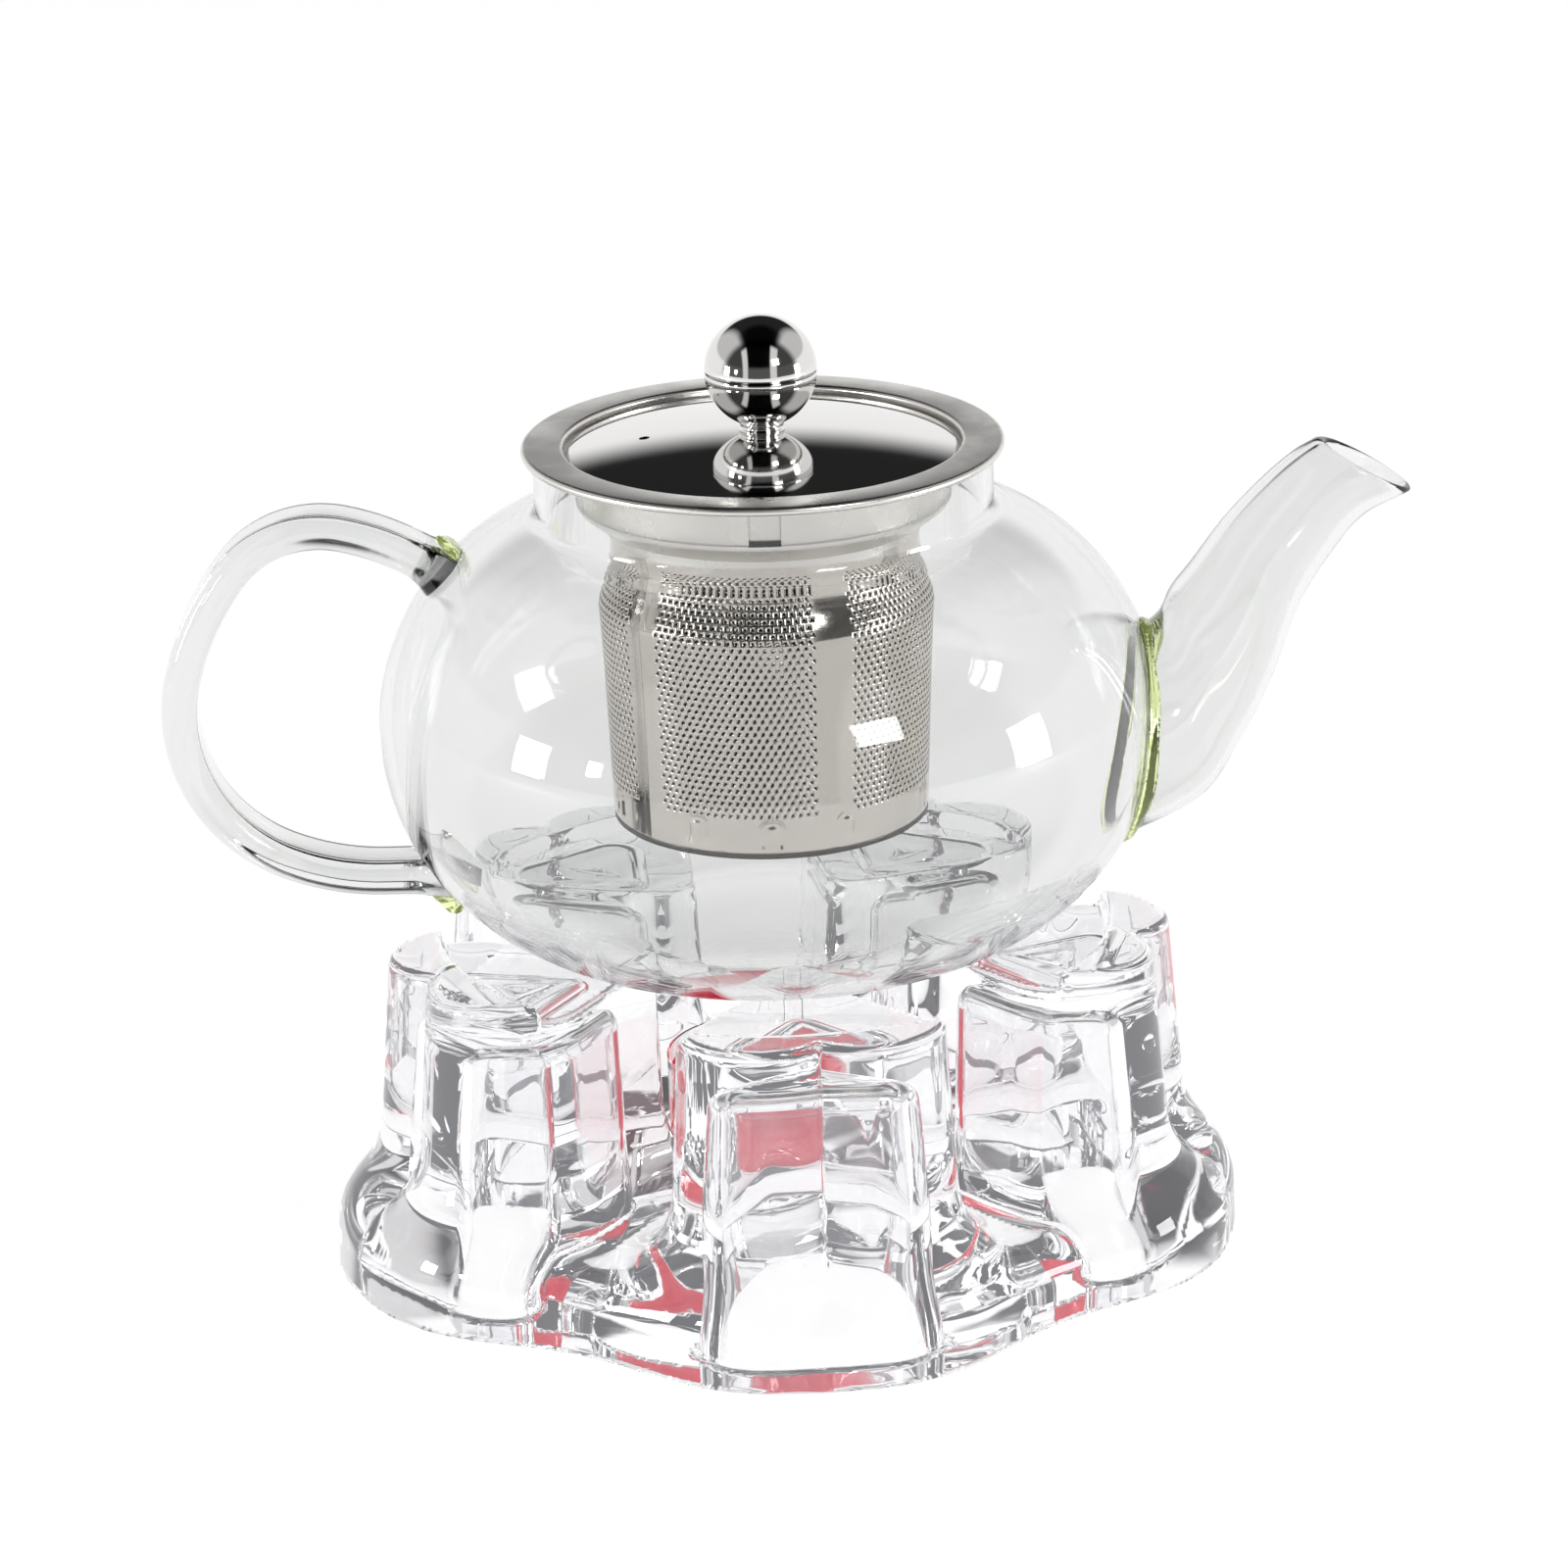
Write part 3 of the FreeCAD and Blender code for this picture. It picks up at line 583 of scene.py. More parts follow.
def handle_line():
    """Points along the rod's middle and its heading at each, from top to bottom."""
    heading = math.radians(HANDLE_START_ANGLE)
    height = BELLY_Z + HANDLE_START_ABOVE
    place = np.array((-float(belly_radius(height)), height))
    points, headings = [place], [heading]
    last = 360.0 - HANDLE_START_ANGLE - sum(turn for radius, turn in HANDLE_ARCS)
    for radius, turn in HANDLE_ARCS + [(HANDLE_LAST_RADIUS, last)]:
        radius *= MM
        centre = place + radius * np.array((-math.sin(heading), math.cos(heading)))
        steps = max(6, round(turn / 2.5))
        for k in range(1, steps + 1):
            now = heading + math.radians(turn) * k / steps
            points.append(centre + radius * np.array((math.sin(now), -math.cos(now))))
            headings.append(now)
        heading += math.radians(turn)
        place = points[-1]
    reach = float(belly_radius(place[1])) - JOIN_GAP
    run = -place[0] - reach
    for share in (0.25, 0.5, 0.75, 1.0):
        points.append(place + np.array((run * share, 0.0)))
        headings.append(heading)
    return np.array(points), np.array(headings)


HANDLE_POINTS, HANDLE_HEADINGS = handle_line()


def handle_section(count=48):
    """A rounded rectangle, thickness by width, as points from its middle."""
    a, b, r = HANDLE_THICK / 2 - HANDLE_ROUND, HANDLE_WIDE / 2 - HANDLE_ROUND, HANDLE_ROUND
    corners = []
    for cx, cy, start in ((a, b, 0), (-a, b, 90), (-a, -b, 180), (a, -b, 270)):
        corners += arc(cx, cy, r, start, start + 90, count // 4 - 1)
    return np.array(corners)


def make_handle():
    section = handle_section()
    lengths = np.concatenate([[0], np.cumsum(np.linalg.norm(np.diff(HANDLE_POINTS, axis=0), axis=1))])
    rings = []
    for index, ((x, z), heading) in enumerate(zip(HANDLE_POINTS, HANDLE_HEADINGS)):
        from_end = min(lengths[index], lengths[-1] - lengths[index])
        flare = 1 + HANDLE_FLARE * max(0.0, 1 - from_end / HANDLE_FLARE_LENGTH) ** 2
        across = np.array((-math.sin(heading), 0, math.cos(heading)))
        aside = np.array((0, 1.0, 0))
        rings.append(np.array((x, 0, z)) + flare * (section[:, :1] * across + section[:, 1:] * aside))
    for end in (0, -1):           # each end is drawn out until it meets the belly
        heading = HANDLE_HEADINGS[end]
        along = np.array((math.cos(heading), 0, math.sin(heading))) * (-1 if end == 0 else 1)
        ring = rings[end]
        reach = np.full(len(ring), 0.0)
        for _ in range(30):
            at = ring + reach[:, None] * along
            gap = np.hypot(at[:, 0], at[:, 1]) - belly_radius(at[:, 2]) - JOIN_GAP
            reach += 0.8 * gap
        rings[end] = ring + reach[:, None] * along
    vertices, faces = tube(rings)
    rod = piece("handle_rod", vertices, faces, ROD_GLASS, "teapot", "pot_glass", "glass_handle")
    face_outwards(rod)


def pot_distance(x, y, z):
    """Roughly the distance outside the pot's belly."""
    return np.hypot(x, y) - belly_radius(z)


def rod_distance(end):
    """Distance from the last stretch of the handle at one end."""
    x0, z0 = HANDLE_POINTS[end]
    heading = HANDLE_HEADINGS[end]

    def distance(x, y, z):
        across = -(x - x0) * math.sin(heading) + (z - z0) * math.cos(heading)
        grow = 1 + HANDLE_FLARE
        dx = np.abs(across) - (HANDLE_THICK / 2 * grow - HANDLE_ROUND)
        dy = np.abs(y) - (HANDLE_WIDE / 2 * grow - HANDLE_ROUND)
        outside = np.hypot(np.maximum(dx, 0), np.maximum(dy, 0))
        return outside + np.minimum(np.maximum(dx, dy), 0) - HANDLE_ROUND
    return distance


def make_handle_seal(name, node, end, drips):
    """A bead of fused glass round one end of the handle, with a tail or two."""
    low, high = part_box(node)
    x0, z0 = HANDLE_POINTS[end]
    rod = rod_distance(end)

    def bead(x, y, z):
        ball = (np.sqrt(((x - x0) / 4.2) ** 2 + (y / 7.6) ** 2 + ((z - z0) / 5.4) ** 2) - MM) * 4.2
        for dy, dz, size, stretch in drips:
            tail = (np.sqrt(((x - x0 + dz * 0.25 * MM) / size) ** 2 + ((y - dy * MM) / size) ** 2
                            + ((z - z0 - dz * MM) / stretch) ** 2) - MM) * size
            ball = smooth_min(ball, tail, 2.0 * MM)
        lumps = 0.25 * MM * np.sin(x * 900 + y * 500) * np.sin(z * 700 - y * 400)
        return smooth_max(ball + lumps, JOIN_GAP - pot_distance(x, y, z), 0.3 * MM)

    def distance(x, y, z):
        return smooth_max(bead(x, y, z), JOIN_GAP - rod(x, y, z), 0.3 * MM)

    step = 0.4 * MM
    low = np.maximum(np.array(low), np.array((-BELLY - 5 * MM, -1, z0 - 9 * MM)))
    points, faces = surface_net(distance, low, np.array(high), step)
    seal = piece(name, points, faces, SEAL_GLASS, "teapot", "seal_glass", node, smooth_angle=60.0)
    face_outwards(seal)


def make_spout_seal():
    """The weld round the spout's root: a low irregular bead on the belly."""
    def distance(x, y, z):
        around = np.arctan2(y, z - SPOUT_ROOT_Z)
        bulge = 0.55 + 0.22 * np.sin(3 * around + 0.6) + 0.16 * np.sin(7 * around + 2.0)
        from_root = np.hypot(y, z - SPOUT_ROOT_Z) - SPOUT_ROOT
        above = pot_distance(x, y, z)
        bead = np.hypot(from_root + 0.3 * MM, above - 0.2 * MM) - (0.9 + bulge) * MM
        bead = smooth_max(bead, JOIN_GAP - above, 0.2 * MM)
        return smooth_max(bead, JOIN_GAP - from_root, 0.2 * MM)

    low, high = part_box("spout_seal_ring")
    low = np.array((low[0] - 2 * MM, -SPOUT_ROOT - 3 * MM, SPOUT_ROOT_Z - SPOUT_ROOT - 3 * MM))
    high = np.array((BELLY + 3 * MM, SPOUT_ROOT + 3 * MM, SPOUT_ROOT_Z + SPOUT_ROOT + 3 * MM))
    points, faces = surface_net(distance, low, high, 0.35 * MM)
    ring = piece("spout_weld", points, faces, SEAL_GLASS, "teapot", "seal_glass", "spout_seal_ring",
                 smooth_angle=60.0)
    face_outwards(ring)


# ------------------------------------------------------------------ infuser

def make_collar():
    wall_foot = LEDGE - COLLAR_WALL
    roll = arc(FLANGE - FLANGE_ROLL, FLANGE_TOP - FLANGE_ROLL, FLANGE_ROLL - SHEET / 2, -150, 90, 14)
    middle = COLLAR - SHEET / 2
    neck = BASKET_NECK + SHEET / 2
    rest = rounded([
        (FLANGE - FLANGE_ROLL, FLANGE_TOP - SHEET / 2, 0),
        (FLANGE_OPENING + SHEET / 2, FLANGE_TOP - SHEET / 2, 0.5 * MM),
        (FLANGE_OPENING + SHEET / 2, LEDGE - SHEET / 2, 0.5 * MM),
        (middle, LEDGE - SHEET / 2, 0.5 * MM),
        (middle, wall_foot, 1.8 * MM),
        (neck + 0.3 * COLLAR_FUNNEL, wall_foot - COLLAR_FUNNEL, 0.6 * MM),
        (neck, wall_foot - COLLAR_FUNNEL, 0.4 * MM),
        (neck, COLLAR_LOW[2], 0),
    ], 6)
    wall = [(middle, z) for z in np.linspace(LEDGE - 2 * MM, wall_foot + 2.4 * MM, 5)]
    line = roll + [p for p in rest[1:] if p[1] > LEDGE - 1.5 * MM] + wall
    line += [p for p in rest[1:] if p[1] < wall_foot + 2.2 * MM]
    vertices, faces = lathe(sheet_outline(line, SHEET), 256)
    collar = piece("infuser_collar_spun", vertices, faces, BRUSHED, "infuser", "brushed_steel",
                   "infuser_collar")
    sill = wall_foot + WINDOW_SILL
    cut(collar, *box_tool((-WINDOW / 2, -2 * FLANGE, sill), (WINDOW / 2, 2 * FLANGE, sill + WINDOW)))


HOLE_COLUMNS = 130            # hole positions round the basket
PANELS = 5
BLANK_COLUMNS = 5             # of the columns in a panel, the ones without holes
HOLE_ROW = 1.117 * MM
HOLE = 0.28 * MM
HOLES_TOP = 121.5 * MM
HOLE_ROWS = 36
FIRST_PANEL = -42.4           # direction of the front panel's left edge from -Y, degrees


def basket_radius(height):
    """The basket's outer radius at a height: neck, hollow flare, shoulder, slight taper."""
    neck_end = BASKET_TOP - BASKET_NECK_LENGTH
    shoulder = BASKET_TOP - BASKET_SHOULDER_DEPTH
    if height >= neck_end:
        return BASKET_NECK
    if height >= shoulder:
        share = (neck_end - height) / (neck_end - shoulder)
        return BASKET_NECK + (BASKET_SHOULDER - BASKET_NECK) * share * share * (3 - 2 * share)
    share = (shoulder - height) / (shoulder - BASKET_LOW[2])
    return BASKET_SHOULDER + (BASKET_BOTTOM - BASKET_SHOULDER) * (0.75 * share + 0.25 * math.sqrt(share))


# crimps that hold the basket's floor: direction from -Y in degrees, and height
CRIMPS = [(-28.0, 79.5), (0.0, 79.0), (28.0, 79.5), (72.0, 79.0), (110.0, 79.0), (144.0, 79.0), (-72.0, 79.0),
          (-110.0, 79.0), (-144.0, 79.0), (180.0, 79.0)]
SEAM = -49.0                  # direction of the rolled sheet's overlap, degrees from -Y


def basket_point(column, height):
    """A point on the basket's outside; column counts half hole positions."""
    angle = 2 * math.pi * column / (2 * HOLE_COLUMNS) + math.radians(FIRST_PANEL - 90)
    radius = basket_radius(height)
    degrees = math.degrees(angle) + 90
    for direction, level in CRIMPS:
        side = (degrees - direction + 180) % 360 - 180
        across = abs(side * math.pi / 180 * radius) / MM
        down = (height / MM - level)
        if across < 3.0 and -2.5 < down < 2.5:
            ridge = abs(math.hypot(across, max(down, 0.0)) - 1.5)
            radius -= 0.45 * MM * max(0.0, 1 - ridge / 0.8)
    side = (degrees - SEAM + 180) % 360 - 180
    step = max(0.0, 1 - abs(side) / 1.6)
    radius += 0.35 * MM * (step if side > 0 else step * 0.2)
    return (radius * math.cos(angle), radius * math.sin(angle), height)


def make_basket():
    """The rolled perforated sheet: six faces round every hole, then its thickness."""
    columns = 2 * HOLE_COLUMNS
    bottom = BASKET_LOW[2] + 1.2 * MM
    edges = [HOLES_TOP - HOLE_ROW * k for k in range(HOLE_ROWS + 1)]
    top_band = list(np.linspace(BASKET_TOP, HOLES_TOP, 6)[:-1])
    low_band = list(np.linspace(edges[-1], bottom, 12)[1:])
    levels = top_band + edges + low_band
    vertices, number = [], {}

    def corner(level, column):
        key = (level, column % columns)
        if key not in number:
            number[key] = len(vertices)
            vertices.append(basket_point(column % columns, levels[level]))
        return number[key]

    faces = []
    per_panel = HOLE_COLUMNS // PANELS
    for level in range(len(levels) - 1):
        row = level - len(top_band)
        holed = 0 <= row < HOLE_ROWS
        shift = row % 2 if holed else 0
        for cell in range(HOLE_COLUMNS):
            start = 2 * cell + shift
            ring = [(level + 1, start), (level + 1, start + 1), (level + 1, start + 2),
                    (level, start + 2), (level, start + 1), (level, start)]
            if not holed or cell % per_panel >= per_panel - BLANK_COLUMNS:
                faces.append([corner(*ring[k]) for k in (0, 1, 4, 5)])
                faces.append([corner(*ring[k]) for k in (1, 2, 3, 4)])
                continue
            middle = (levels[level] + levels[level + 1]) / 2
            radius = basket_radius(middle)
            half_pitch = 2 * math.pi / columns * radius
            hole = []
            for a in np.radians((210, 270, 330, 30, 90, 150)):
                hole.append(len(vertices))
                vertices.append(basket_point(start + 1 + HOLE * math.cos(a) / half_pitch,
                                             middle + HOLE * math.sin(a)))
            for k in range(6):
                nxt = (k + 1) % 6
                faces.append([corner(*ring[k]), corner(*ring[nxt]), hole[nxt], hole[k]])
    last = len(levels) - 1
    lip = [(BASKET_BOTTOM - 0.35 * MM, 0.4 * MM), (BASKET_BOTTOM - 1.1 * MM, 0.05 * MM),
           (BASKET_BOTTOM - BASKET_LIP - 0.6 * MM, 0.05 * MM)]
    before = [corner(last, c) for c in range(columns)]
    for radius, rise in lip:
        ring = []
        for c in range(columns):
            angle = 2 * math.pi * c / columns + math.radians(FIRST_PANEL - 90)
            ring.append(len(vertices))
            vertices.append((radius * math.cos(angle), radius * math.sin(angle), BASKET_LOW[2] + rise))
        for c in range(columns):
            faces.append([before[c], ring[c], ring[(c + 1) % columns], before[(c + 1) % columns]][::-1])
        before = ring
    basket = piece("infuser_basket_sheet", vertices, faces, BASKET, "infuser", "basket_steel",
                   "infuser_basket")
    solid = basket.modifiers.new("sheet", "SOLIDIFY")
    solid.thickness = 0.45 * MM
    solid.offset = -1.0
    # The inner shell and the hole rims take the near-black copy of the steel: painted shade.
    basket.data.materials.append(SHADED_BASKET_INSIDE)
    solid.material_offset = 1
    solid.material_offset_rim = 1
    result = bpy.data.meshes.new_from_object(basket.evaluated_get(bpy.context.evaluated_depsgraph_get()))
    basket.modifiers.clear()
    basket.data = result


def make_basket_base():
    """The floor disc, with a flat ring pressed up in it for stiffness."""
    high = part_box("infuser_base")[1]
    radius, level, raised = high[0], high[2] - 0.25 * MM, high[2] - 0.05 * MM
    line = rounded([
        (0.0, level, 0),
        (radius * 0.45, level, 3 * MM),
        (radius * 0.5, raised, 1 * MM),
        (radius * 0.8, raised, 1 * MM),
        (radius * 0.84, level, 1 * MM),
        (radius, level, 0),
    ], 5)
    outline = sheet_outline(line, 0.42 * MM)
    outline[0] = (0.0, outline[0][1])
    outline[-1] = (0.0, outline[-1][1])
    vertices, faces = lathe(outline, 128)
    piece("infuser_floor", vertices, faces, BASKET, "infuser", "basket_steel", "infuser_base")


# ------------------------------------------------------------------ lid and knob

def make_lid():
    ball = (LID ** 2 + LID_RISE ** 2) / (2 * LID_RISE)
    half = LID_THICK / 2
    line = []
    for share in np.linspace(SCREW_HOLE / LID, 1.0, 40):
        r = share * (LID - half)
        line.append((r, LEDGE + half + LID_RISE - ball + math.sqrt(ball ** 2 - r ** 2)))
    edge = offset(line, half) + offset(line, -half)[::-1]
    count = len(line)
    rim = arc(LID - half, LEDGE + half, half, 75, -75, 8)
    outline = edge[:count] + rim + edge[count:]
    vertices, faces = lathe(outline, 256)
    lid = piece("lid_dome", vertices, faces, POLISHED, "lid", "polished_steel", "lid_cover")
    cut(lid, *rod_tool(VENT, (-VENT_REACH, 0, LEDGE - LID_RISE), (0, 0, 1), 4 * LID_RISE, 40))
    face_outwards(lid)
    middle, top, foot = SKIRT_HIGH[1] - SHEET / 2, SKIRT_HIGH[2], SKIRT_LOW[2]
    skirt = rounded([
        (middle - 0.3 * MM, top - 0.8 * MM, 0),
        (middle, top - 1.5 * MM, 0.5 * MM),
        (middle, foot + 0.8 * MM, 0.5 * MM),
        (middle - 0.5 * MM, foot + 0.2 * MM, 0),
    ], 5)
    vertices, faces = lathe(sheet_outline(skirt, SHEET), 192)
    face_outwards(piece("lid_skirt_ring", vertices, faces, BRUSHED, "lid", "brushed_steel", "lid_skirt"))


def shell_outline(low_angle, high_angle, groove):
    """Half of the hollow ball, its edge eased where the two halves meet."""
    outside = arc(0.0, KNOB_Z, KNOB, low_angle, high_angle, 40)
    inside = arc(0.0, KNOB_Z, KNOB - KNOB_WALL, high_angle, low_angle, 24)
    easing = 0.12 * MM
    outline = []
    for r, z in outside + inside:
        near = max(0.0, 1 - abs(z - KNOB_Z) / (2.5 * easing))
        shift = groove * easing * near
        outline.append((max(0.0, r - (easing * near if r > KNOB - easing else 0.0)), z + shift))
    return outline


def make_knob():
    top = shell_outline(0.0, 90.0, 0.6)
    bottom_angle = -math.degrees(math.acos(SCREW_HOLE / KNOB))
    bottom = shell_outline(0.0, bottom_angle, -0.6)
    for name, node, outline in (("knob_top_half", "knob_upper_shell", top),
                                ("knob_bottom_half", "knob_lower_shell", bottom)):
        vertices, faces = lathe(outline, 160)
        face_outwards(piece(name, vertices, faces, POLISHED, "lid", "polished_steel", node))
    low, high = SPACER_LOW[2], SPACER_HIGH[2]
    outer = SPACER_HIGH[0]
    neck = rounded([
        (SCREW_HOLE, low, 0),
        (outer, low, 0.2 * MM),
        (outer - 0.5 * MM, (low + high) / 2, 0.6 * MM),
        (outer, high, 0.2 * MM),
        (SCREW_HOLE, high, 0),
    ], 5)
    vertices, faces = lathe(neck, 96)
    face_outwards(piece("knob_neck", vertices, faces, POLISHED, "lid", "polished_steel", "knob_spacer"))


# ------------------------------------------------------------------ tealight

def make_tealight():
    radius, floor, top = CUP_HIGH[0], CUP_LOW[2], CUP_HIGH[2]
    wall = 0.5 * MM
    line = rounded([(0.0, floor + wall / 2, 0),
                    (radius - wall, floor + wall / 2, 1.5 * MM),
                    (radius - wall / 2, top - 0.6 * MM, 0.4 * MM), (radius - wall / 2, top, 0)], 6)
    outline = sheet_outline(line, wall * 0.9)
    outline[0] = (0.0, outline[0][1])
    outline[-1] = (0.0, outline[-1][1])
    vertices, faces = lathe(outline, 160)
    face_outwards(piece("tealight_clear_cup", vertices, faces, CUP_GLASS, "tealight", "cup_glass",
                        "tealight_cup"))
    wax_gap = 0.06 * MM           # between the wax and its cup
    wax_radius, wax_foot, wax_top = WAX_HIGH[0] - wax_gap, WAX_LOW[2], WAX_HIGH[2]
    wick = WICK_HIGH[0]
    wax = rounded([
        (wick, wax_foot + 0.5 * MM, 0),
        (wax_radius - 1.2 * MM, wax_foot + wax_gap, 0.8 * MM),
        (wax_radius, wax_foot + 1.5 * MM, 0.8 * MM),
        (wax_radius, wax_top + 0.5 * MM, 0.3 * MM),
        (wax_radius - 1.2 * MM, wax_top - 0.1 * MM, 1.0 * MM),
        (wick + 2.2 * MM, wax_top - 0.25 * MM, 2.0 * MM),
        (wick + 0.15 * MM, wax_top + 0.5 * MM, 0),
    ], 6)
    vertices, faces = lathe(wax, 128)
    face_outwards(piece("tealight_red_wax", vertices, faces, WAX, "tealight", "red_wax", "tealight_wax"))
    rings = []
    low, high = WICK_LOW[2], WICK_HIGH[2]
    for share in np.linspace(0, 1, 70):
        z = low + (high - low) * share
        turn = np.linspace(0, 2 * math.pi, 24, endpoint=False)
        braid = 1 + 0.1 * np.cos(3 * turn + 2 * math.pi * share * 9)
        tip = 1 - 0.35 * max(0.0, (share - 0.93) / 0.07)
        thick = 0.88 * wick * braid * tip
        rings.append(np.stack([thick * np.cos(turn), thick * np.sin(turn), np.full(24, z)], 1))
    vertices, faces = tube(rings)
    face_outwards(piece("tealight_braided_wick", vertices, faces, COTTON, "tealight", "wick_cotton",
                        "tealight_wick"))


# ------------------------------------------------------------------ warmer

def capsule_2d(x, y, a, b, radius_a, radius_b):
    """Distance in plan from the hull of two circles."""
    dx, dy = b[0] - a[0], b[1] - a[1]
    length = math.hypot(dx, dy)
    along = ((x - a[0]) * dx + (y - a[1]) * dy) / length
    aside = np.abs((x - a[0]) * dy - (y - a[1]) * dx) / length
    lean = (radius_a - radius_b) / length
    square = math.sqrt(1 - lean * lean)
    tilt = -lean * aside + square * along
    return np.where(tilt < 0, np.hypot(aside, along) - radius_a,
                    np.where(tilt > square * length, np.hypot(aside, along - length) - radius_b,
                             square * aside + lean * along - radius_a))


def heart(x, y, tip_x, tip, lobe):
    lobe_x = COLUMN_REACH - COLUMN_LOBE
    return capsule_2d(x, np.abs(y), (tip_x, 0), (lobe_x, COLUMN_SPREAD), tip, lobe)


def hollow_tip_x():
    """Where a hollow's inner end lies so that its wall is even."""
    tip_x = COLUMN_TIP_REACH + COLUMN_TIP
    lobe_x = COLUMN_REACH - COLUMN_LOBE
    run = math.hypot(lobe_x - tip_x, COLUMN_SPREAD)
    side = math.atan2(COLUMN_SPREAD, lobe_x - tip_x) + math.asin((COLUMN_LOBE - COLUMN_TIP) / run)
    return tip_x + (COLUMN_WALL + HOLLOW_TIP - COLUMN_TIP) / math.sin(side)


HOLLOW_TIP_X = hollow_tip_x()


def round_edge(a, b, radius):
    """The intersection of two solids with a round edge between them."""
    a, b = a + radius, b + radius
    return np.minimum(np.maximum(a, b), 0) + np.hypot(np.maximum(a, 0), np.maximum(b, 0)) - radius


def warmer_distance(x, y, z):
    reach = np.hypot(x, y)
    sector = 2 * math.pi / LOBES
    turn = np.arctan2(y, x) - math.radians(FIRST_COLUMN)
    turn = turn - sector * np.round(turn / sector)
    u, v = reach * np.cos(turn), reach * np.abs(np.sin(turn))
    lobe_centre = PLATE_LOBE_REACH - PLATE_LOBE
    here = np.hypot(u - lobe_centre, v) - PLATE_LOBE
    there = np.hypot(u - lobe_centre * math.cos(sector), v - lobe_centre * math.sin(sector)) - PLATE_LOBE
    plate = round_edge(smooth_min(here, there, PLATE_BLEND), z - PLATE_HEIGHT, 6.0 * MM)
    grow = COLUMN_DRAFT * (1 - np.clip(z / COLUMN_TOP, 0, 1))
    spread = 1 + COLUMN_FLARE * (1 - np.clip(z / COLUMN_TOP, 0, 1))
    u, v = u / spread, v / spread
    tip_x = COLUMN_TIP_REACH + COLUMN_TIP
    column = spread * heart(u, v, tip_x, COLUMN_TIP, COLUMN_LOBE) - grow
    column = round_edge(column, z - COLUMN_TOP, 2.0 * MM)
    solid = smooth_min(plate, column, COLUMN_FILLET)
    lobe = COLUMN_LOBE - COLUMN_WALL
    hollow = heart(u, v, HOLLOW_TIP_X, HOLLOW_TIP, lobe)
    column_x = COLUMN_REACH - COLUMN_LOBE
    bridge = capsule_2d(u, v, (column_x, 0), (column_x, COLUMN_SPREAD), lobe, lobe)
    hollow = spread * np.minimum(hollow, bridge) - grow
    hollow = round_edge(hollow, z - (COLUMN_TOP - COLUMN_CEILING), 4.0 * MM)
    solid = smooth_max(solid, -hollow, 1.5 * MM)
    solid = smooth_max(solid, -np.maximum(reach - SEAT_RECESS, SEAT - z), 1.2 * MM)
    solid = smooth_max(solid, -np.maximum(reach - LIGHT_RECESS, LIGHT_Z - z), 1.0 * MM)
    return smooth_max(solid, -z, 1.0 * MM)


def make_warmer():
    step = 1.0 * MM
    points, faces = surface_net(warmer_distance, WARMER_LOW, WARMER_HIGH, step)
    points[:, 2] = np.maximum(points[:, 2], 0.0)
    warmer = piece("warmer_pressed_glass", points, faces, CRYSTAL, "warmer", "crystal_glass", "warmer_glass",
                   smooth_angle=180.0)
    face_outwards(warmer)
    set_normals(warmer, warmer_distance, step)


# ------------------------------------------------------------------ stage

def make_stage():
    """A pale floor that glows a little, so that the clear glass reads against it."""
    size = 3.0
    steps = 8
    row = steps + 1
    vertices = [(-size + 2 * size * i / steps, -size + 2 * size * j / steps, 0.0)
                for j in range(row) for i in range(row)]
    faces = [(j * row + i, j * row + i + 1, (j + 1) * row + i + 1, (j + 1) * row + i)
             for j in range(steps) for i in range(steps)]
    mesh = bpy.data.meshes.new("floor")
    mesh.from_pydata(vertices, [], faces)
    floor = bpy.data.objects.new("floor", mesh)
    bpy.context.collection.objects.link(floor)
    pale, _, _ = material("pale_floor", Base_Color=(0.4, 0.4, 0.4, 1), Roughness=0.9,
                          Emission_Color=(1, 1, 1, 1), Emission_Strength=0.86)
    mesh.materials.append(pale)
    floor.location.z = -0.2 * MM  # just below the warmer's underside


SOFTBOXES = [
    # name, place, height it aims at on the axis, width, height, watts
    ("left_softbox", (-1.15, -0.35, 0.24), 0.09, 0.22, 0.3, 5),
    ("left_window", (-0.95, -0.75, 0.3), 0.09, 0.08, 0.14, 1.5),
    ("right_softbox", (1.2, -0.2, 0.2), 0.09, 0.25, 0.35, 5),
    ("front_softbox", (0.75, -1.1, 0.85), 0.1, 0.35, 0.3, 5),
]


def area_light(name, place, aim_height, width, height, power):
    data = bpy.data.lights.new(name, "AREA")
    data.shape = "RECTANGLE"
    data.size, data.size_y = width, height
    data.energy = power
    lamp = bpy.data.objects.new(name, data)
    lamp.location = place
    lamp.rotation_euler = (Vector((0, 0, aim_height)) - Vector(place)).to_track_quat("-Z", "Y").to_euler()
    bpy.context.collection.objects.link(lamp)


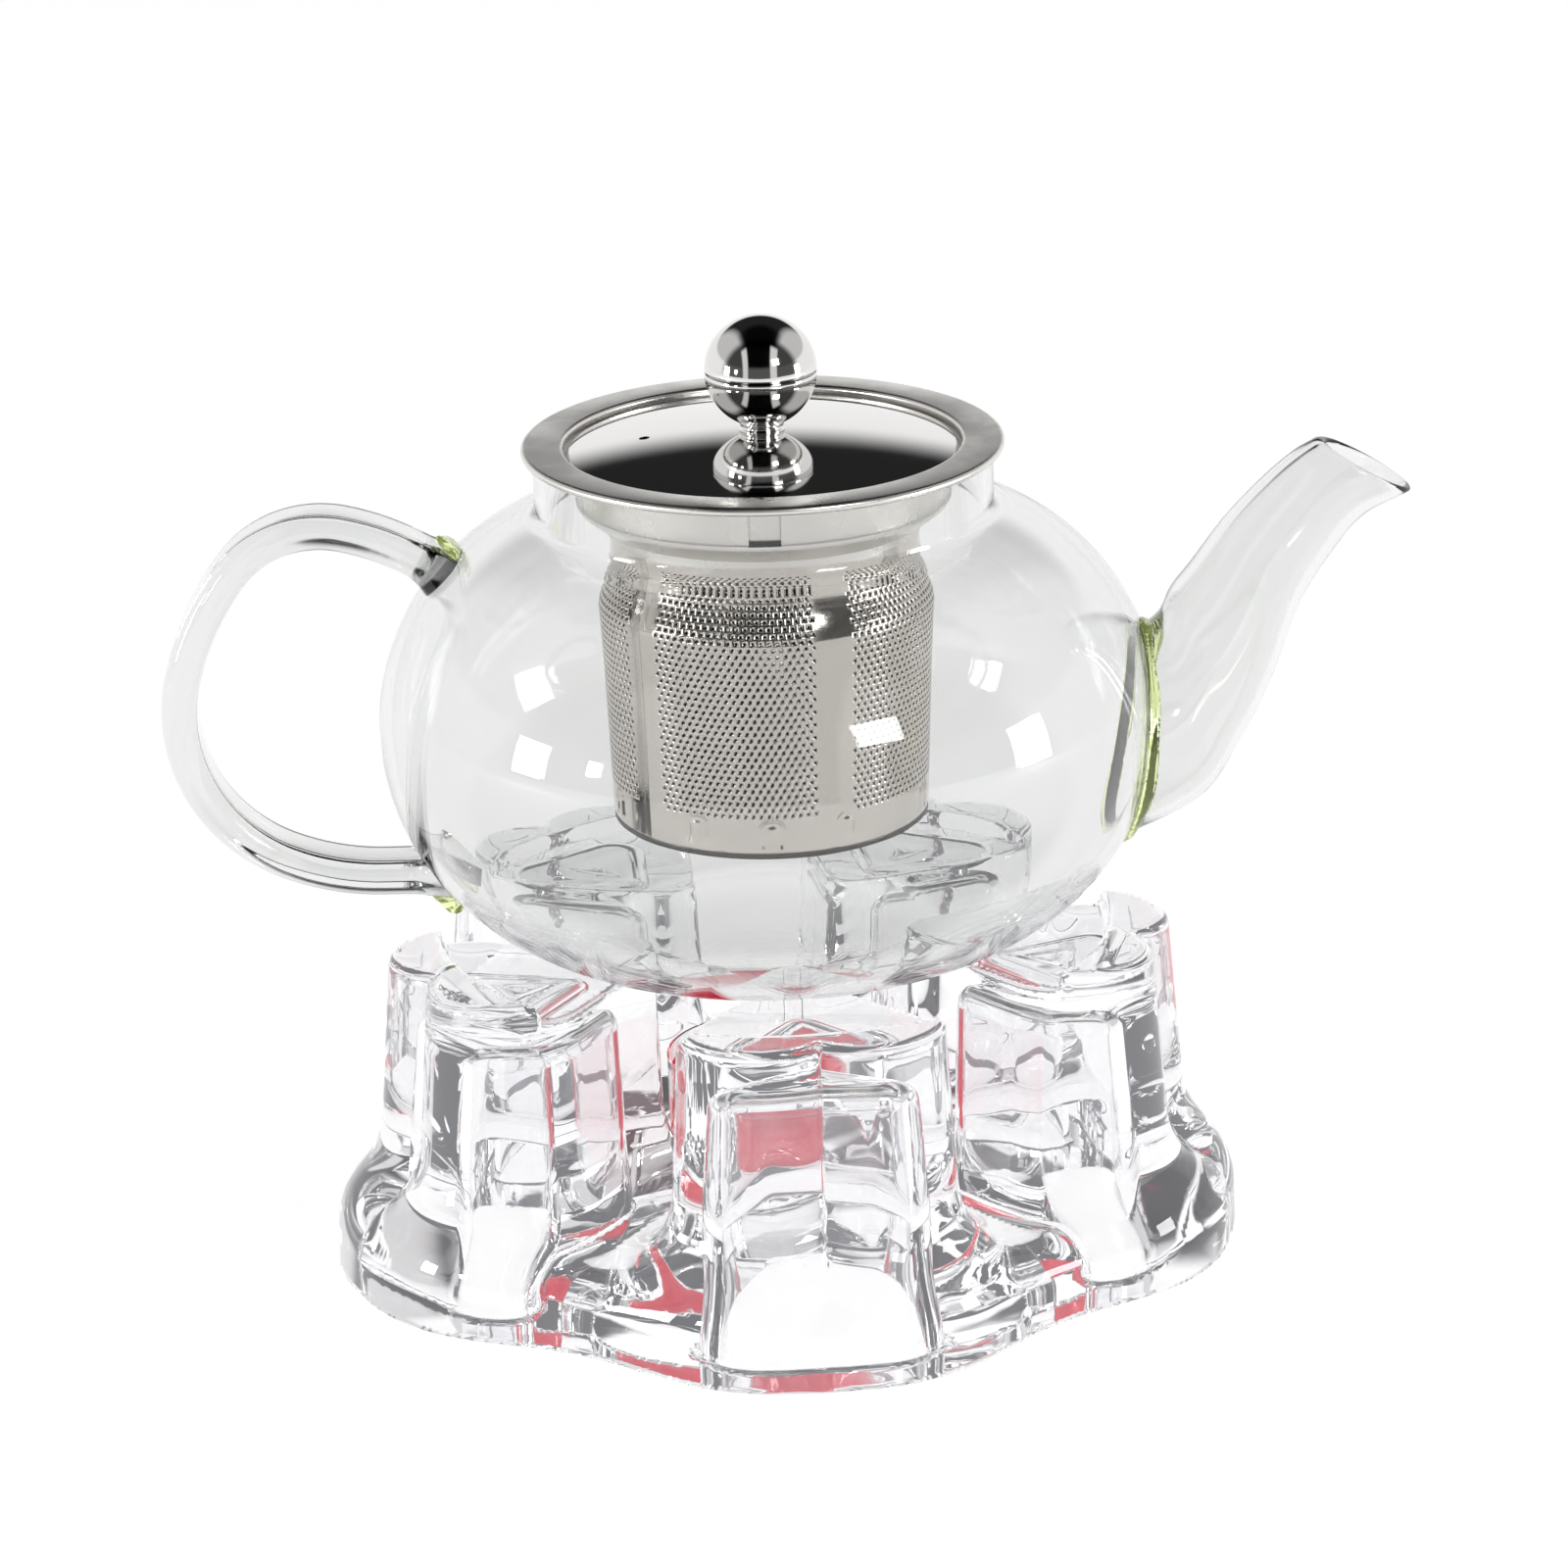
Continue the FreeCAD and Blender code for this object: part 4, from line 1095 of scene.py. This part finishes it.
def make_light():
    world = bpy.data.worlds.new("studio")
    bpy.context.scene.world = world
    world.use_nodes = True
    tree = world.node_tree
    background = tree.nodes["Background"]
    where = tree.nodes.new("ShaderNodeTexCoord")
    split = tree.nodes.new("ShaderNodeSeparateXYZ")
    tree.links.new(where.outputs["Generated"], split.inputs["Vector"])

    def ramp(socket, start, end, low, high):
        node = add_node(tree, "ShaderNodeMapRange", From_Min=start, From_Max=end, To_Min=low, To_Max=high)
        node.interpolation_type = "SMOOTHSTEP"
        tree.links.new(socket, node.inputs["Value"])
        return node.outputs["Result"]

    def combine(operation, one, two):
        node = tree.nodes.new("ShaderNodeMath")
        node.operation = operation
        tree.links.new(one, node.inputs[0])
        tree.links.new(two, node.inputs[1])
        return node.outputs["Value"]

    # Pale walls, with a dark card high up behind and a dim front with pale upright strips. Each
    # ramp runs over one part of the direction, from -1 to 1: X to the side, Y away, Z upwards.
    sideways = tree.nodes.new("ShaderNodeMath")
    sideways.operation = "ABSOLUTE"
    tree.links.new(split.outputs["X"], sideways.inputs[0])
    low_down = ramp(split.outputs["Z"], 0.24, 0.4, 1.0, 0.02)
    beside = ramp(sideways.outputs["Value"], 0.4, 0.62, 0.0, 0.62)
    around = combine("MAXIMUM", low_down, beside)
    overhead = ramp(split.outputs["Z"], 0.78, 0.95, 1.0, 0.12)
    behind = ramp(split.outputs["Y"], -0.3, 0.0, 0.1, 1.0)
    room = combine("MULTIPLY", combine("MULTIPLY", around, overhead), behind)
    left_strip = combine("MULTIPLY", ramp(split.outputs["X"], -0.62, -0.56, 0.0, 1.0),
                         ramp(split.outputs["X"], -0.46, -0.4, 1.0, 0.0))
    right_strip = combine("MULTIPLY", ramp(split.outputs["X"], 0.3, 0.36, 0.0, 1.0),
                          ramp(split.outputs["X"], 0.52, 0.58, 1.0, 0.0))
    in_front = ramp(split.outputs["Y"], -0.45, -0.3, 0.75, 0.0)
    strips = combine("MULTIPLY", combine("MAXIMUM", left_strip, right_strip), in_front)
    light = combine("MAXIMUM", room, strips)
    tree.links.new(light, background.inputs["Color"])
    background.inputs["Strength"].default_value = 1.0
    for softbox in SOFTBOXES:
        area_light(*softbox)


def make_camera():
    """Looks down on the pot a little, through a long lens, turned by a degree or so."""
    data = bpy.data.cameras.new("camera")
    data.lens = 169.3
    data.sensor_width = 36.0
    data.shift_x, data.shift_y = 0.0065, 0.0659
    data.clip_start = 0.05
    camera = bpy.data.objects.new("camera", data)
    elevation, distance, roll = math.radians(19.6), 1.25, math.radians(-1.47)
    target = Vector((0, 0, 60 * MM))
    camera.location = target + distance * Vector((0, -math.cos(elevation), math.sin(elevation)))
    look = (target - camera.location).to_track_quat("-Z", "Y").to_matrix()
    camera.rotation_euler = (look @ Matrix.Rotation(roll, 3, "Z")).to_euler()
    bpy.context.collection.objects.link(camera)
    bpy.context.scene.camera = camera


make_pot()
make_spout()
make_handle()
make_handle_seal("upper_weld", "handle_upper_seal", 0, [(-5.5, -6.0, 1.3, 3.4), (2.0, -6.5, 1.1, 2.2)])
make_handle_seal("lower_weld", "handle_lower_seal", -1, [(-4.0, -5.0, 1.6, 1.8)])
make_spout_seal()
make_collar()
make_basket()
make_basket_base()
make_lid()
make_knob()
make_tealight()
make_warmer()
for node in ("wick_sustainer", "knob_insert", "screw_washer", "knob_screw"):
    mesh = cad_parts[node].data
    mesh.materials.clear()
    mesh.materials.append(PLAIN)
make_stage()
make_light()
make_camera()
bpy.context.scene.view_settings.view_transform = "Standard"
